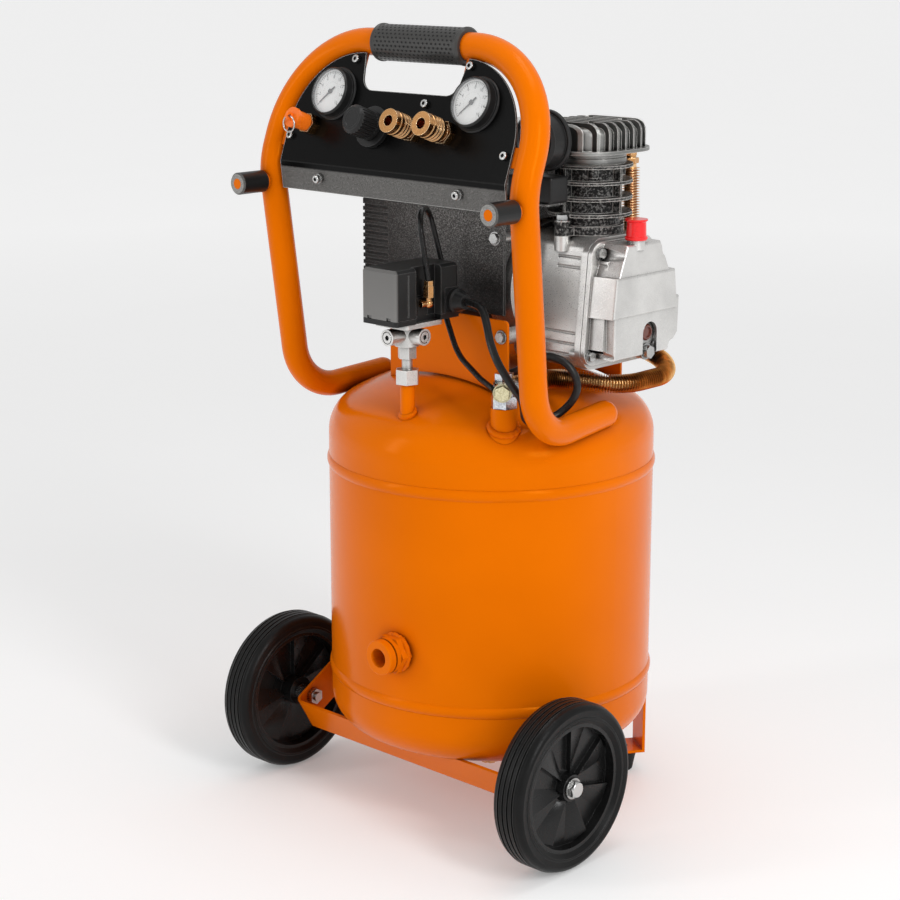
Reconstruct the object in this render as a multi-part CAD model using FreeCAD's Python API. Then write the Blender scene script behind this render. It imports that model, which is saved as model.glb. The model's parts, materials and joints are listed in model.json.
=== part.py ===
"""Upright direct-drive piston air compressor on two wheels.

Millimetres, +Z up, origin on the floor in the middle of the machine's footprint.
The panel and handle face -Y, the pump's crankcase cover faces +X.
Everything is modelled about the tank's axis and moved by TANK_Y when it is written.
"""
import FreeCAD, Part
import math
import os
from FreeCAD import Placement, Rotation, Vector

# ---------------------------------------------------------------- general fits
SEAT_GAP = 0.05          # round pieces pushed together and fixed
RUNNING_GAP = 0.08       # shafts and pins that turn or slide in a bore
MOVING_GAP = 0.4         # between faces that pass one another
PAD_GAP = 0.3            # a soft piece and what it lies against

# ---------------------------------------------------------------- tank
TANK_DIAMETER = 350.0
TANK_WALL = 3.0
SHELL_LENGTH = 232.0     # between the two seams
TOP_SKIRT = 30.0         # straight part of the top head
TOP_CROWN = 75.0         # height of its dome
TOP_KNUCKLE = 42.0       # radius where dome meets skirt
BOTTOM_SKIRT = 29.0
BOTTOM_CROWN = 61.0
BOTTOM_KNUCKLE = 34.0
GROUND_CLEARANCE = 56.0
BEAD_HEIGHT = 12.0       # raised band at each seam
BEAD_PROUD = 2.2

# ---------------------------------------------------------------- wheels
WHEEL_DIAMETER = 177.0
WHEEL_WIDTH = 38.0
WHEEL_TRACK = 406.0      # between the wheels' middle planes
AXLE_FORWARD = 114.0     # axle ahead of the tank's axis
TYRE_DEPTH = 21.0        # tread to rim
TYRE_GROOVE = 1.8
RIM_WALL = 3.5
HUB_WEB = 4.0
HUB_BOSS_DIAMETER = 32.0
HUB_INNER = 16.0         # boss, inward of the wheel's middle plane
HUB_OUTER = 13.0
BLADES = 7
BLADE_RISE = 7.0
WHEEL_BOLT_DIAMETER = 10.0
WHEEL_BOLT_FLATS = 16.0
WHEEL_BOLT_HEAD = 7.0
WASHER_DIAMETER = 22.0
WASHER_THICKNESS = 1.6

# ---------------------------------------------------------------- tank supports
STRAP_WIDTH = 39.0
STRAP_THICKNESS = 3.0
STRAP_SPAN = 340.0       # over the outer faces of the cheeks
STRAP_TILT = 30.0        # cheeks rise to the rear
STRAP_DROP = 7.0         # axle above the cheek's middle line
STRAP_SETBACK = 22.0     # axle behind the front strip
FOOT_ANGLE = 35.0        # feet to each side of straight back
FOOT_PLATE_Z = 25.0      # underside of the foot flange
FOOT_WIDTH = 38.0
FOOT_SHEET = 3.0
FOOT_REACH = 38.0        # flange towards the tank's middle
FOOT_TOP_DIAMETER = 32.0
FOOT_BOTTOM_DIAMETER = 24.0
FOOT_SCREW_DIAMETER = 6.0

# ---------------------------------------------------------------- tank fittings
WELD_SIZE = 3.0
PORT_DIAMETER = 37.0     # front inspection socket
PORT_BORE = 20.0
PORT_X = 26.0
PORT_ABOVE_SEAM = 57.0
PORT_COLLAR = 8.0
PORT_RING = 7.0
PORT_HEX_FLATS = 37.0
PORT_STANDOFF = 25.0     # face ahead of the shell
PIPE_DIAMETER = 15.0     # riser under the pressure switch
PIPE_BORE = 10.0
PIPE_X = 15.0
PIPE_Y = -144.0
PIPE_STANDOFF = 32.5
SOCKET_DIAMETER = 27.0   # welded sockets on the heads
SOCKET_BORE = 16.0
SOCKET_STANDOFF = 22.0
CHECK_X = 113.0
CHECK_Y = -106.0
FEED_X = -60.0
FEED_Y = 146.0
DRAIN_STANDOFF = 7.0
DRAIN_BODY_FLATS = 22.0
DRAIN_BODY_LENGTH = 14.0
DRAIN_STEM_DIAMETER = 8.0
DRAIN_STEM_GAP = 3.0
DRAIN_KNOB_DIAMETER = 20.0
DRAIN_KNOB_HEIGHT = 9.0

# ---------------------------------------------------------------- handle frame
TUBE_DIAMETER = 28.0
TUBE_WALL = 2.0
HANDLE_WIDTH = 352.0     # between the legs' centre lines at the kink
HANDLE_LEAN = 20.0       # upper part leans back
LEG_RISE = 249.0         # lower bend to kink
LEG_FORWARD = 29.0       # kink ahead of the lower bend
LEG_SPREAD = 6.3         # kink outside the lower bend
FOOT_RUN = 117.0         # leg's lower run, from the tube end to the bend
FOOT_RUN_DROP = 8.0
TUBE_END_X = 160.0
TUBE_END_Y = -5.0
TUBE_SINK = 5.0          # weld depth into the dome
UPPER_LENGTH = 137.0     # kink to the top tube
CORNER_RADIUS = 104.0
KINK_RADIUS = 90.0
LOWER_RADIUS = 54.0
GRIP_LENGTH = 121.0
GRIP_SHIFT = 2.5         # grip and hand opening, to the right
GRIP_DIAMETER = 37.0
GRIP_RIM = 4.0
GRIP_RIM_PROUD = 0.7
HOOK_BELOW_KINK = 16.5
HOOK_REACH = 51.0        # pin end ahead of the tube's centre line
HOOK_PIN_DIAMETER = 11.0
HOOK_SLEEVE_DIAMETER = 23.0
HOOK_SLEEVE_LENGTH = 35.0
TAB_WIDTH = 20.0
TAB_THICKNESS = 3.0

# ---------------------------------------------------------------- control panel
PANEL_SHEET = 2.0
PANEL_FRONT = 7.0        # front face ahead of the tubes' centre plane
PANEL_WIDTH = 314.0
PANEL_CORNER = 86.0
PANEL_TOP_DROP = 13.8    # below the top tube's centre line
PANEL_FOLD = 4.0         # fold line above the kink
BAND_HEIGHT = 29.0
HAND_TOP_WIDTH = 150.0
HAND_BOTTOM_WIDTH = 128.0
HAND_BOTTOM = 85.0       # lower edge above the kink
HAND_CORNER = 16.0
ROW_HEIGHT = 47.0        # regulator, couplings and safety valve above the kink
GAUGE_HEIGHT = 78.5
GAUGE_SPACING = 196.0
GAUGE_DIAMETER = 50.0
GAUGE_DEPTH = 12.0
GAUGE_WALL = 2.0
GAUGE_FLANGE = 56.0
GAUGE_FLANGE_DEPTH = 2.0
GAUGE_STEM_DIAMETER = 12.0
DIAL_THICKNESS = 0.8
DIAL_DEPTH = 4.0         # dial below the bezel
LENS_THICKNESS = 1.2
NEEDLE_LENGTH = 17.0
NEEDLE_TAIL = 7.0
NEEDLE_WIDTH = 1.8
NEEDLE_THICKNESS = 0.6
NEEDLE_HUB_DIAMETER = 5.0
NEEDLE_ZERO = 225.0      # resting direction, degrees from the panel's right
NEEDLE_PIN_DIAMETER = 1.6
SCREW_DIAMETER = 5.0
SCREW_HEAD_DIAMETER = 8.5
SCREW_HEAD_HEIGHT = 4.5
TOP_SCREW_X = 79.0
TOP_SCREW_HEIGHT = 115.5
SIDE_SCREW_X = 149.0
SIDE_SCREW_HEIGHT = 31.0
BAND_SCREW_X = 97.6
BAND_SCREW_DROP = 14.0
BAND_SPACER_DIAMETER = 10.0
BAND_SPACER_LENGTH = 4.0
MIDDLE_SCREW_X = 31.0
MIDDLE_SCREW_HEIGHT = 75.0

# ---------------------------------------------------------------- air line behind the panel
BAR_SIZE = 22.0
BAR_DEPTH = 6.0          # bar's front face behind the tubes' centre plane
REGULATOR_X = -32.0
REGULATOR_SIZE = 42.0
REGULATOR_NECK = 24.0
REGULATOR_NUT = 42.0
REGULATOR_NUT_HEIGHT = 5.0
KNOB_DIAMETER = 30.0
KNOB_LENGTH = 27.0
KNOB_RIBS = 24
KNOB_GAP = 1.0
COUPLING_X = (24.0, 68.0)
COUPLING_FLATS = 22.0
COUPLING_HEX = 9.0
COUPLING_BARREL = 18.0
COUPLING_LENGTH = 39.0
COUPLING_NOSE = 24.0
COUPLING_NOSE_LENGTH = 6.0
COUPLING_BORE = 11.0
COUPLING_BORE_DEPTH = 20.0
COUPLING_STEM = 13.0
SLEEVE_DIAMETER = 24.5
SLEEVE_LENGTH = 19.0
SAFETY_X = -121.0
SAFETY_HEIGHT = 43.5
SAFETY_BODY_FLATS = 19.0
SAFETY_BODY_LENGTH = 11.0
SAFETY_STEM = 10.0
SAFETY_CAP_DIAMETER = 18.0
SAFETY_CAP_LENGTH = 20.0
SAFETY_CAP_COLLAR = 21.0
RING_DIAMETER = 18.0
RING_WIRE = 1.6
RING_EYE = 4.0
FEED_PIPE_DIAMETER = 10.0
FEED_NUT_FLATS = 17.0
FEED_NUT_LENGTH = 12.0
FEED_BAR_X = -100.0

# ---------------------------------------------------------------- pressure switch
UNION_FLATS = 22.0
UNION_HEIGHT = 15.0
NIPPLE_DIAMETER = 11.0
NIPPLE_HEIGHT = 11.5
NIPPLE_HEX_FLATS = 17.0
NIPPLE_HEX_HEIGHT = 13.0
CASTING_HEIGHT = 27.0
CASTING_FLANGE = 5.0
CASTING_WIDTH = 46.0
CASTING_DEPTH = 56.0
CASTING_CORE = 26.0
ARM_DIAMETER = 17.0
FRONT_ARM_REACH = 29.0
SIDE_ARM_REACH = 25.0
PLUG_DIAMETER = 11.0
PLUG_RECESS = 1.5
PLUG_SOCKET = 5.0
SWITCH_WIDTH = 49.0
SWITCH_DEPTH = 90.0
SWITCH_BASE_HEIGHT = 5.0
SWITCH_HEIGHT = 56.0
SWITCH_WALL = 2.5
SWITCH_SETBACK = 2.0     # switch's middle behind the riser's axis
SWITCH_SIDE_SHIFT = 3.0  # switch's middle to the right of the riser's axis
SWITCH_CORNER = 4.0
SWITCH_NOTCH_DEPTH = 9.0
SWITCH_NOTCH_LENGTH = 36.0
ROCKER_LENGTH = 22.0
ROCKER_HEIGHT = 14.0
ROCKER_PROUD = 4.0
ROCKER_GAP = 0.9         # round the rocker, for its tilt
UNLOADER_HEIGHT = 42.0   # top of the unloader's nut above the switch base
UNLOADER_FORWARD = 141.0
UNLOADER_FLATS = 9.0
UNLOADER_NUT = 11.0
GLAND_Y = -103.0
GLAND_DIAMETER = 26.0
GLAND_NUT_LENGTH = 5.0
GLAND_LENGTH = 15.5
GLAND_TIP = 15.0
GLAND_ABOVE_BASE = 17.0
CABLE_DIAMETER = 8.0
AIR_TUBE_DIAMETER = 6.0
CASE_GLAND_X = 50.0      # motor's cable gland
CASE_GLAND_ANGLE = 45.0  # below the horizontal
CASE_GLAND_RADIUS = 76.0

# ---------------------------------------------------------------- check valve
CHECK_HEX_FLATS = 24.0
CHECK_HEX_HEIGHT = 12.0
CHECK_BODY_DIAMETER = 22.0
CHECK_BODY_HEIGHT = 14.0
CHECK_CAP_FLATS = 17.0
CHECK_CAP_HEIGHT = 9.0
BANJO_DIAMETER = 19.0
BANJO_LENGTH = 12.0
BANJO_OFFSET = 5.0
BANJO_TURN = 37.0        # banjo's axis to the right of straight ahead
DISCHARGE_NUT_FLATS = 21.0
DISCHARGE_NUT_LENGTH = 11.0

# ---------------------------------------------------------------- pump saddle
PUMP_Y = 20.0            # shaft behind the tank's axis
SADDLE_SPACING = 184.0   # between the plates' middle planes
SADDLE_SHEET = 3.0
SADDLE_LEFT = 79.0
SADDLE_RIGHT = 88.0
SADDLE_TOP = 62.0        # above the tank's crown
SADDLE_RELIEF = 3.0      # gap under the middle of each plate
RELIEF_LEFT = 42.0
RELIEF_RIGHT = 74.0
SLOT_WIDTH = 7.0
SLOT_DROP = 17.0         # slot's middle below the plate's top
PUMP_BOLT_DIAMETER = 6.0
PUMP_BOLT_FLATS = 10.0
PUMP_BOLT_HEAD = 4.2
LUG_DIAMETER = 17.0

# ---------------------------------------------------------------- pump
SHAFT_RISE = 87.0        # shaft above the tank's crown
SHAFT_DIAMETER = 17.0
CRANKCASE_START = 62.0   # X of the crankcase's motor side
CRANKCASE_LENGTH = 93.0
CRANKCASE_WALL = 6.0
CRANKCASE_DROP = 73.0    # bottom below the shaft
DECK_RISE = 60.0         # cylinder seat above the shaft
CASE_BOTTOM_WIDTH = 110.0
CASE_TOP_WIDTH = 84.0
CASE_CORNER = 14.0
FLANGE_BORDER = 6.0
FLANGE_THICKNESS = 7.0
GASKET_THICKNESS = 0.8
COVER_FLANGE = 5.0
COVER_DEPTH = 29.0
COVER_DRAFT = 5.0
COVER_WALL = 4.0
CYLINDER_X = 116.0
BORE = 48.0
STROKE = 40.0
BARREL_DIAMETER = 62.0
BARREL_HEIGHT = 72.0     # deck to valve plate
SPIGOT_DEPTH = 9.0
BASE_FLANGE = 9.0
BASE_BOLT_SIDE = 43.0    # bolts before and behind the cylinder's axis
BASE_BOLT_BACK = 39.0    # bolt on the motor's side
BASE_RIM = 4.0
BASE_BOLT_DIAMETER = 7.0
BASE_BOLT_EAR = 16.0
BASE_BOLT_EAR_HEIGHT = 15.0
BASE_BOLT_BOSS = 15.0    # boss on the crankcase below each ear
BASE_BOLT_FLATS = 11.0
BASE_BOLT_HEAD = 6.5
HEAD_SCREW_CIRCLE = 62.0
HEAD_SCREW_DIAMETER = 5.0
HEAD_SCREW_HEAD = 9.0
HEAD_SCREW_LENGTH = 37.0
HEAD_SCREW_SEAT = 15.0   # above the valve plate
FIN_DIAMETER = 87.0
FIN_THICKNESS = 3.2
FINS = 4
FIN_PITCH = 16.2
FIN_FIRST = 20.5         # lowest fin's middle above the deck
CAST_RIB_WIDTH = 2.6
VALVE_PLATE_HEIGHT = 11.0
VALVE_PLATE_DIAMETER = 73.0
HEAD_LENGTH = 92.0       # along the shaft
HEAD_WIDTH = 110.0
HEAD_HEIGHT = 31.0
HEAD_CORNER = 36.0
HEAD_BRIM = 4.0
HEAD_BRIM_HEIGHT = 3.5
HEAD_RIBS = 9
HEAD_RIB_PITCH = 12.5
HEAD_RIB_THICKNESS = 2.8
HEAD_RIB_DEPTH = 5.0
HEAD_SHOULDER = 11.0
FILTER_DIAMETER = 55.0
FILTER_RING_DIAMETER = 61.0
FILTER_BODY = 20.0
FILTER_RING = 6.0
FILTER_SIDE = -4.0       # to the right of the cylinder's axis
FILTER_NECK = 16.0
DISCHARGE_SIDE = -1.0    # discharge elbow to the right of the cylinder's axis
PORT_RISE = 14.0         # intake port above the valve plate
PISTON_HEIGHT = 29.0
PISTON_BELOW = 12.0      # skirt below the pin
PISTON_WALL = 4.5
ROD_LENGTH = 94.0
ROD_WIDTH = 11.0
ROD_EYE = 30.0
ROD_SMALL_EYE = 18.0
ROD_SHANK = 11.0
WRIST_PIN_DIAMETER = 10.0
CRANK_PIN_DIAMETER = 14.0
CRANK_PIN_STUB = 2.5
CRANK_WEB = 9.0
COUNTERWEIGHT_RADIUS = 41.0
BEARING_OUTER = 40.0
BEARING_WIDTH = 12.0

# ---------------------------------------------------------------- motor
STATOR_DIAMETER = 124.0
STATOR_BORE = 64.0
STATOR_LENGTH = 88.0
STATOR_START = -44.0
ROTOR_LENGTH = 76.0
AIR_GAP = 0.6
MOTOR_CUP = 6.0          # wall of the cups that hold the stator
CUP_OVERLAP = 9.0
END_BELL_LENGTH = 30.0
FAN_DIAMETER = 116.0
FAN_WIDTH = 16.0
FAN_BLADES = 6
FAN_HUB = 34.0
SHROUD_START = -132.0
SHROUD_END = 72.0
SHROUD_BOTTOM = 64.0     # above the tank's crown
SHROUD_WIDTH = 164.0
SHROUD_HEIGHT = 153.0
SHROUD_WALL = 3.5
SHROUD_SIDE = 104.0      # height of the upright side
SHROUD_STEP = 20.0
SHROUD_STEP_IN = 6.0
SHROUD_TOP_WIDTH = 108.0
SHROUD_CORNER = 7.0
VENT_LENGTH = 39.0
VENT_PITCH = 7.2
VENT_HEIGHT = 3.2
VENT_DEPTH = 1.8
SHROUD_LUG = 14.0
SHROUD_LUG_PROUD = 1.5
SHROUD_LUG_DEPTH = 5.0   # behind the shroud's face
SHROUD_POST = 10.0
SHROUD_BOLT = 6.0
SHROUD_BOLT_INSET = 10.0
SHROUD_BOLT_RISE = 56.0  # above the shaft
CAPACITOR_LENGTH = 58.0
CAPACITOR_HEIGHT = 27.0
CAPACITOR_DEPTH = 27.0
CAPACITOR_RISE = 109.0   # middle above the shaft
OIL_NECK_DIAMETER = 18.0
OIL_PLUG_DIAMETER = 23.5
OIL_PLUG_HEIGHT = 21.0
OIL_PLUG_STEM = 12.0
OIL_PLUG_REACH = 8.0     # stem inside the neck
SIGHT_DIAMETER = 17.0
SIGHT_SIDE = 13.0
SIGHT_DROP = 38.0
DRAIN_PLUG_DROP = 58.0
COVER_BOLT_DIAMETER = 6.0
COVER_BOLT_FLATS = 9.0
COVER_BOLT_HEAD = 5.0

# ---------------------------------------------------------------- discharge tube
DISCHARGE_DIAMETER = 20.0   # over the cooling fins
DISCHARGE_RADIUS = 24.0

# ---------------------------------------------------------------- derived places
X_AXIS = Vector(1, 0, 0)
Y_AXIS = Vector(0, 1, 0)
Z_AXIS = Vector(0, 0, 1)
FRONT = Vector(0, -1, 0)
TANK_RADIUS = TANK_DIAMETER / 2
TUBE_RADIUS = TUBE_DIAMETER / 2
AXLE_Z = WHEEL_DIAMETER / 2
LOWER_SEAM_Z = GROUND_CLEARANCE + BOTTOM_CROWN + BOTTOM_SKIRT
UPPER_SEAM_Z = LOWER_SEAM_Z + SHELL_LENGTH
TOP_SPRING_Z = UPPER_SEAM_Z + TOP_SKIRT
BOTTOM_SPRING_Z = GROUND_CLEARANCE + BOTTOM_CROWN
CROWN_Z = TOP_SPRING_Z + TOP_CROWN
SHAFT_Z = CROWN_Z + SHAFT_RISE
DECK_Z = SHAFT_Z + DECK_RISE
CRANKCASE_END = CRANKCASE_START + CRANKCASE_LENGTH
COVER_START = CRANKCASE_END + GASKET_THICKNESS
COVER_END = COVER_START + COVER_FLANGE + COVER_DEPTH
VALVE_PLATE_Z = DECK_Z + BARREL_HEIGHT
HEAD_Z = VALVE_PLATE_Z + VALVE_PLATE_HEIGHT
PORT_FRONT_Y = -(TANK_RADIUS + PORT_STANDOFF)
CRANK_THROW = STROKE / 2
WRIST_PIN_Z = SHAFT_Z - CRANK_THROW + ROD_LENGTH


def crown_radius(crown, knuckle):
    """Radius of the dome's middle arc, tangent to its knuckle."""
    inner = TANK_RADIUS - knuckle
    return (inner ** 2 + crown ** 2 - knuckle ** 2) / (2 * (crown - knuckle))


def crown_share(crown, knuckle):
    """Radius at which the middle arc meets the knuckle, and its height."""
    radius = crown_radius(crown, knuckle)
    reach = radius / (radius - knuckle)
    return (TANK_RADIUS - knuckle) * reach, crown - radius + (radius - crown) * reach


def dome_centre(x, y):
    """Centre of the arc that the top surface follows above a point of the plan."""
    away = math.hypot(x, y)
    if away < crown_share(TOP_CROWN, TOP_KNUCKLE)[0]:
        return Vector(0, 0, TOP_SPRING_Z + TOP_CROWN - crown_radius(TOP_CROWN, TOP_KNUCKLE))
    share = (TANK_RADIUS - TOP_KNUCKLE) / away
    return Vector(x * share, y * share, TOP_SPRING_Z)


def dome_z(x, y):
    """Height of the tank's top surface above a point of the plan."""
    centre = dome_centre(x, y)
    radius = TOP_KNUCKLE if centre.z == TOP_SPRING_Z else crown_radius(TOP_CROWN, TOP_KNUCKLE)
    return centre.z + math.sqrt(radius ** 2 - (x - centre.x) ** 2 - (y - centre.y) ** 2)


def dome_normal(x, y):
    return (Vector(x, y, dome_z(x, y)) - dome_centre(x, y)).normalize()


TUBE_END_Z = dome_z(TUBE_END_X, TUBE_END_Y) + TUBE_RADIUS - TUBE_SINK
BEND_Z = TUBE_END_Z - FOOT_RUN_DROP
KINK_Z = BEND_Z + LEG_RISE
BEND_X = HANDLE_WIDTH / 2 - LEG_SPREAD
BEND_Y = TUBE_END_Y - FOOT_RUN
KINK_Y = BEND_Y - LEG_FORWARD
HOOK_Y = KINK_Y + LEG_FORWARD * HOOK_BELOW_KINK / LEG_RISE
FRONT_REACH = max(HOOK_REACH - HOOK_Y, AXLE_FORWARD + WHEEL_DIAMETER / 2)
BACK_REACH = TANK_RADIUS + BEAD_PROUD
TANK_Y = (FRONT_REACH - BACK_REACH) / 2
LEAN = math.radians(HANDLE_LEAN)
KINK = Vector(0, KINK_Y, KINK_Z)
PANEL_UP = Vector(0, math.sin(LEAN), math.cos(LEAN))
PANEL_OUT = Vector(0, -math.cos(LEAN), math.sin(LEAN))


# ---------------------------------------------------------------- drawing helpers
def rod(radius, start, end):
    return Part.makeCylinder(radius, (end - start).Length, start, end - start)


def pipe(outer, inner, start, end):
    return rod(outer, start, end).cut(rod(inner, start, end))


def block(x0, x1, y0, y1, z0, z1):
    return Part.makeBox(x1 - x0, y1 - y0, z1 - z0, Vector(x0, y0, z0))


def face_along(axis, start, points):
    """Polygon of (u, v) points on the plane through start, square to axis."""
    turn = Rotation(Z_AXIS, axis)
    corners = [start + turn.multVec(Vector(u, v, 0)) for u, v in points]
    return Part.Face(Part.makePolygon(corners + corners[:1]))


def hexagon(flats, start, end, turn=0.0):
    """Hexagonal bar between two points."""
    radius = flats / math.sqrt(3)
    angles = [math.radians(60 * i + turn) for i in range(6)]
    points = [(radius * math.cos(a), radius * math.sin(a)) for a in angles]
    return face_along(end - start, start, points).extrude(end - start)


def nut(flats, hole, start, end, turn=0.0):
    return hexagon(flats, start, end, turn).cut(rod(hole / 2, start, end))


def chain(start, steps, lift):
    """Closed wire; a step is a point, or a (middle, end) pair that makes an arc."""
    edges = []
    here = start
    for step in list(steps) + [start]:
        if isinstance(step[0], tuple):
            middle, end = step
            edges.append(Part.Arc(lift(here), lift(middle), lift(end)).toShape())
        else:
            end = step
            edges.append(Part.LineSegment(lift(here), lift(end)).toShape())
        here = end
    return Part.Wire(edges)


def lathe(start, steps, base=Vector(0, 0, 0), axis=Z_AXIS):
    """Solid of revolution of an outline of (radius, distance) points."""
    wire = chain(start, steps, lambda p: Vector(p[0], 0, p[1]))
    solid = Part.Face(wire).revolve(Vector(0, 0, 0), Z_AXIS, 360)
    solid.Placement = Placement(base, Rotation(Z_AXIS, axis))
    return solid


def bend_points(before, corner, after, radius):
    """Start, middle and end of the arc that rounds a corner of a route."""
    incoming = (corner - before).normalize()
    outgoing = (after - corner).normalize()
    half = incoming.getAngle(outgoing) / 2
    reach = radius * math.tan(half)
    inward = (outgoing - incoming).normalize()
    middle = corner + inward * (radius / math.cos(half) - radius)
    return corner - incoming * reach, middle, corner + outgoing * reach


def route(points, radii):
    """Wire of straight runs joined by tangent arcs."""
    edges = []
    here = points[0]
    for before, corner, after, radius in zip(points, points[1:], points[2:], radii):
        start, middle, end = bend_points(before, corner, after, radius)
        edges.append(Part.LineSegment(here, start).toShape())
        edges.append(Part.Arc(start, middle, end).toShape())
        here = end
    edges.append(Part.LineSegment(here, points[-1]).toShape())
    return Part.Wire(edges)


def sweep(points, radii, tube_radius):
    path = route(points, radii)
    circle = Part.Circle(points[0], points[1] - points[0], tube_radius)
    section = Part.Wire(circle.toShape())
    return path.makePipeShell([section], True, False)


def cord_radii(points):
    """Bend radii of a free cord, each as large as its two runs allow."""
    radii = []
    for before, corner, after in zip(points, points[1:], points[2:]):
        incoming = corner - before
        outgoing = after - corner
        half = incoming.getAngle(outgoing) / 2
        radii.append(0.45 * min(incoming.Length, outgoing.Length) / math.tan(half))
    return radii


def cord(name, points, diameter):
    radii = cord_radii(points)
    solid = sweep(points, radii, diameter / 2)
    length = route(points, radii).Length
    section = math.pi * diameter ** 2 / 4
    print(name, "length %.1f" % length, "volume ratio %.4f" % (solid.Volume / section / length))
    print("  radii", " ".join("%.1f" % r for r in radii))
    return solid


def mirrored(shape):
    return shape.mirror(Vector(0, 0, 0), X_AXIS)


def both_sides(shape):
    return [shape, mirrored(shape)]


def group(shapes):
    return Part.makeCompound(shapes)


def fuse_all(first, *others):
    return first.fuse(list(others)).removeSplitter()


def rounded(shape, radius, wanted):
    """Fillet the edges for which wanted(edge) is true."""
    edges = [edge for edge in shape.Edges if wanted(edge)]
    return shape.makeFillet(radius, edges) if edges else shape


def is_along(edge, axis):
    """True for a straight edge parallel to an axis."""
    if len(edge.Vertexes) < 2 or edge.Curve.TypeId != "Part::GeomLine":
        return False
    direction = edge.Vertexes[1].Point - edge.Vertexes[0].Point
    return direction.cross(axis).Length < 1e-4 * direction.Length


def on_panel(x, height, out):
    return KINK + X_AXIS * x + PANEL_UP * height + PANEL_OUT * out


def panel_place(shape):
    """Move a shape drawn flat (X across, Y up the panel, Z out) onto the panel."""
    placed = shape.copy()
    placed.Placement = Placement(KINK, Rotation(X_AXIS, 90 - HANDLE_LEAN)).multiply(shape.Placement)
    return placed


# ---------------------------------------------------------------- tank
def bead(z):
    middle = (TANK_RADIUS + BEAD_PROUD, z + BEAD_HEIGHT / 2)
    return middle, (TANK_RADIUS, z + BEAD_HEIGHT)


def tank_shell():
    inside = TANK_RADIUS - TANK_WALL
    bottom = LOWER_SEAM_Z - BEAD_HEIGHT / 2
    upper_bead = UPPER_SEAM_Z - BEAD_HEIGHT / 2
    top = UPPER_SEAM_Z + BEAD_HEIGHT / 2
    steps = [(TANK_RADIUS, bottom), bead(bottom), (TANK_RADIUS, upper_bead)]
    steps += [bead(upper_bead), (inside, top)]
    port_z = LOWER_SEAM_Z + PORT_ABOVE_SEAM
    hole = rod(PORT_BORE / 2, Vector(PORT_X, PORT_FRONT_Y, port_z), Vector(PORT_X, 0, port_z))
    return lathe((inside, bottom), steps).cut(hole)


def head_solid(wall, crown, knuckle, spring_z, seam_z, sign):
    """Domed end as a full solid, its surface set in by the wall."""
    radius = TANK_RADIUS - wall
    ring = TANK_RADIUS - knuckle
    big = crown_radius(crown, knuckle)
    bend = knuckle - wall
    slope = math.atan2(big - crown, ring)
    knee = (ring + bend * math.cos(slope / 2), spring_z + sign * bend * math.sin(slope / 2))
    join = (ring + bend * math.cos(slope), spring_z + sign * bend * math.sin(slope))
    centre_z = spring_z + sign * (crown - big)
    lean = (math.pi / 2 + slope) / 2
    middle = ((big - wall) * math.cos(lean), centre_z + sign * (big - wall) * math.sin(lean))
    top = (0, spring_z + sign * (crown - wall))
    steps = [(radius, seam_z), (radius, spring_z), (knee, join), (middle, top)]
    return lathe((0, seam_z), steps)


def tank_head(crown, knuckle, spring_z, seam_z, sign):
    outer = head_solid(0, crown, knuckle, spring_z, seam_z, sign)
    return outer.cut(head_solid(TANK_WALL, crown, knuckle, spring_z, seam_z, sign))


def top_head():
    seam = UPPER_SEAM_Z + BEAD_HEIGHT / 2
    head = tank_head(TOP_CROWN, TOP_KNUCKLE, TOP_SPRING_Z, seam, 1)
    bores = [(PIPE_X, PIPE_Y, PIPE_BORE), (CHECK_X, CHECK_Y, SOCKET_BORE), (FEED_X, FEED_Y, SOCKET_BORE)]
    holes = []
    for x, y, bore in bores:
        holes.append(rod(bore / 2, Vector(x, y, TOP_SPRING_Z), Vector(x, y, CROWN_Z)))
    return head.cut(holes)


def bottom_head():
    seam = LOWER_SEAM_Z - BEAD_HEIGHT / 2
    head = tank_head(BOTTOM_CROWN, BOTTOM_KNUCKLE, BOTTOM_SPRING_Z, seam, -1)
    hole = rod(DRAIN_STEM_DIAMETER / 2, Vector(0, 0, GROUND_CLEARANCE - 1), Vector(0, 0, BOTTOM_SPRING_Z))
    return head.cut(hole)


def tank_envelope():
    """The tank's outside as one full solid, for trimming what is welded to it."""
    middle = (LOWER_SEAM_Z + UPPER_SEAM_Z) / 2
    top = head_solid(0, TOP_CROWN, TOP_KNUCKLE, TOP_SPRING_Z, middle, 1)
    bottom = head_solid(0, BOTTOM_CROWN, BOTTOM_KNUCKLE, BOTTOM_SPRING_Z, middle, -1)
    return top.fuse([bottom, tank_shell()])


def welded_socket(x, y, outer, bore, top_z):
    """Upright socket on the dome with its weld."""
    base = Vector(x, y, dome_z(x, y) - outer)
    wall = rod(outer / 2, base, Vector(x, y, top_z))
    foot = (outer / 2 + 2 * WELD_SIZE, -2 * WELD_SIZE)
    steps = [foot, (outer / 2, 1.5 * WELD_SIZE), (0, 1.5 * WELD_SIZE)]
    weld = lathe((0, foot[1]), steps, Vector(x, y, dome_z(x, y)), dome_normal(x, y))
    return wall.fuse(weld).cut(rod(bore / 2, base, Vector(x, y, top_z)))


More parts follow.
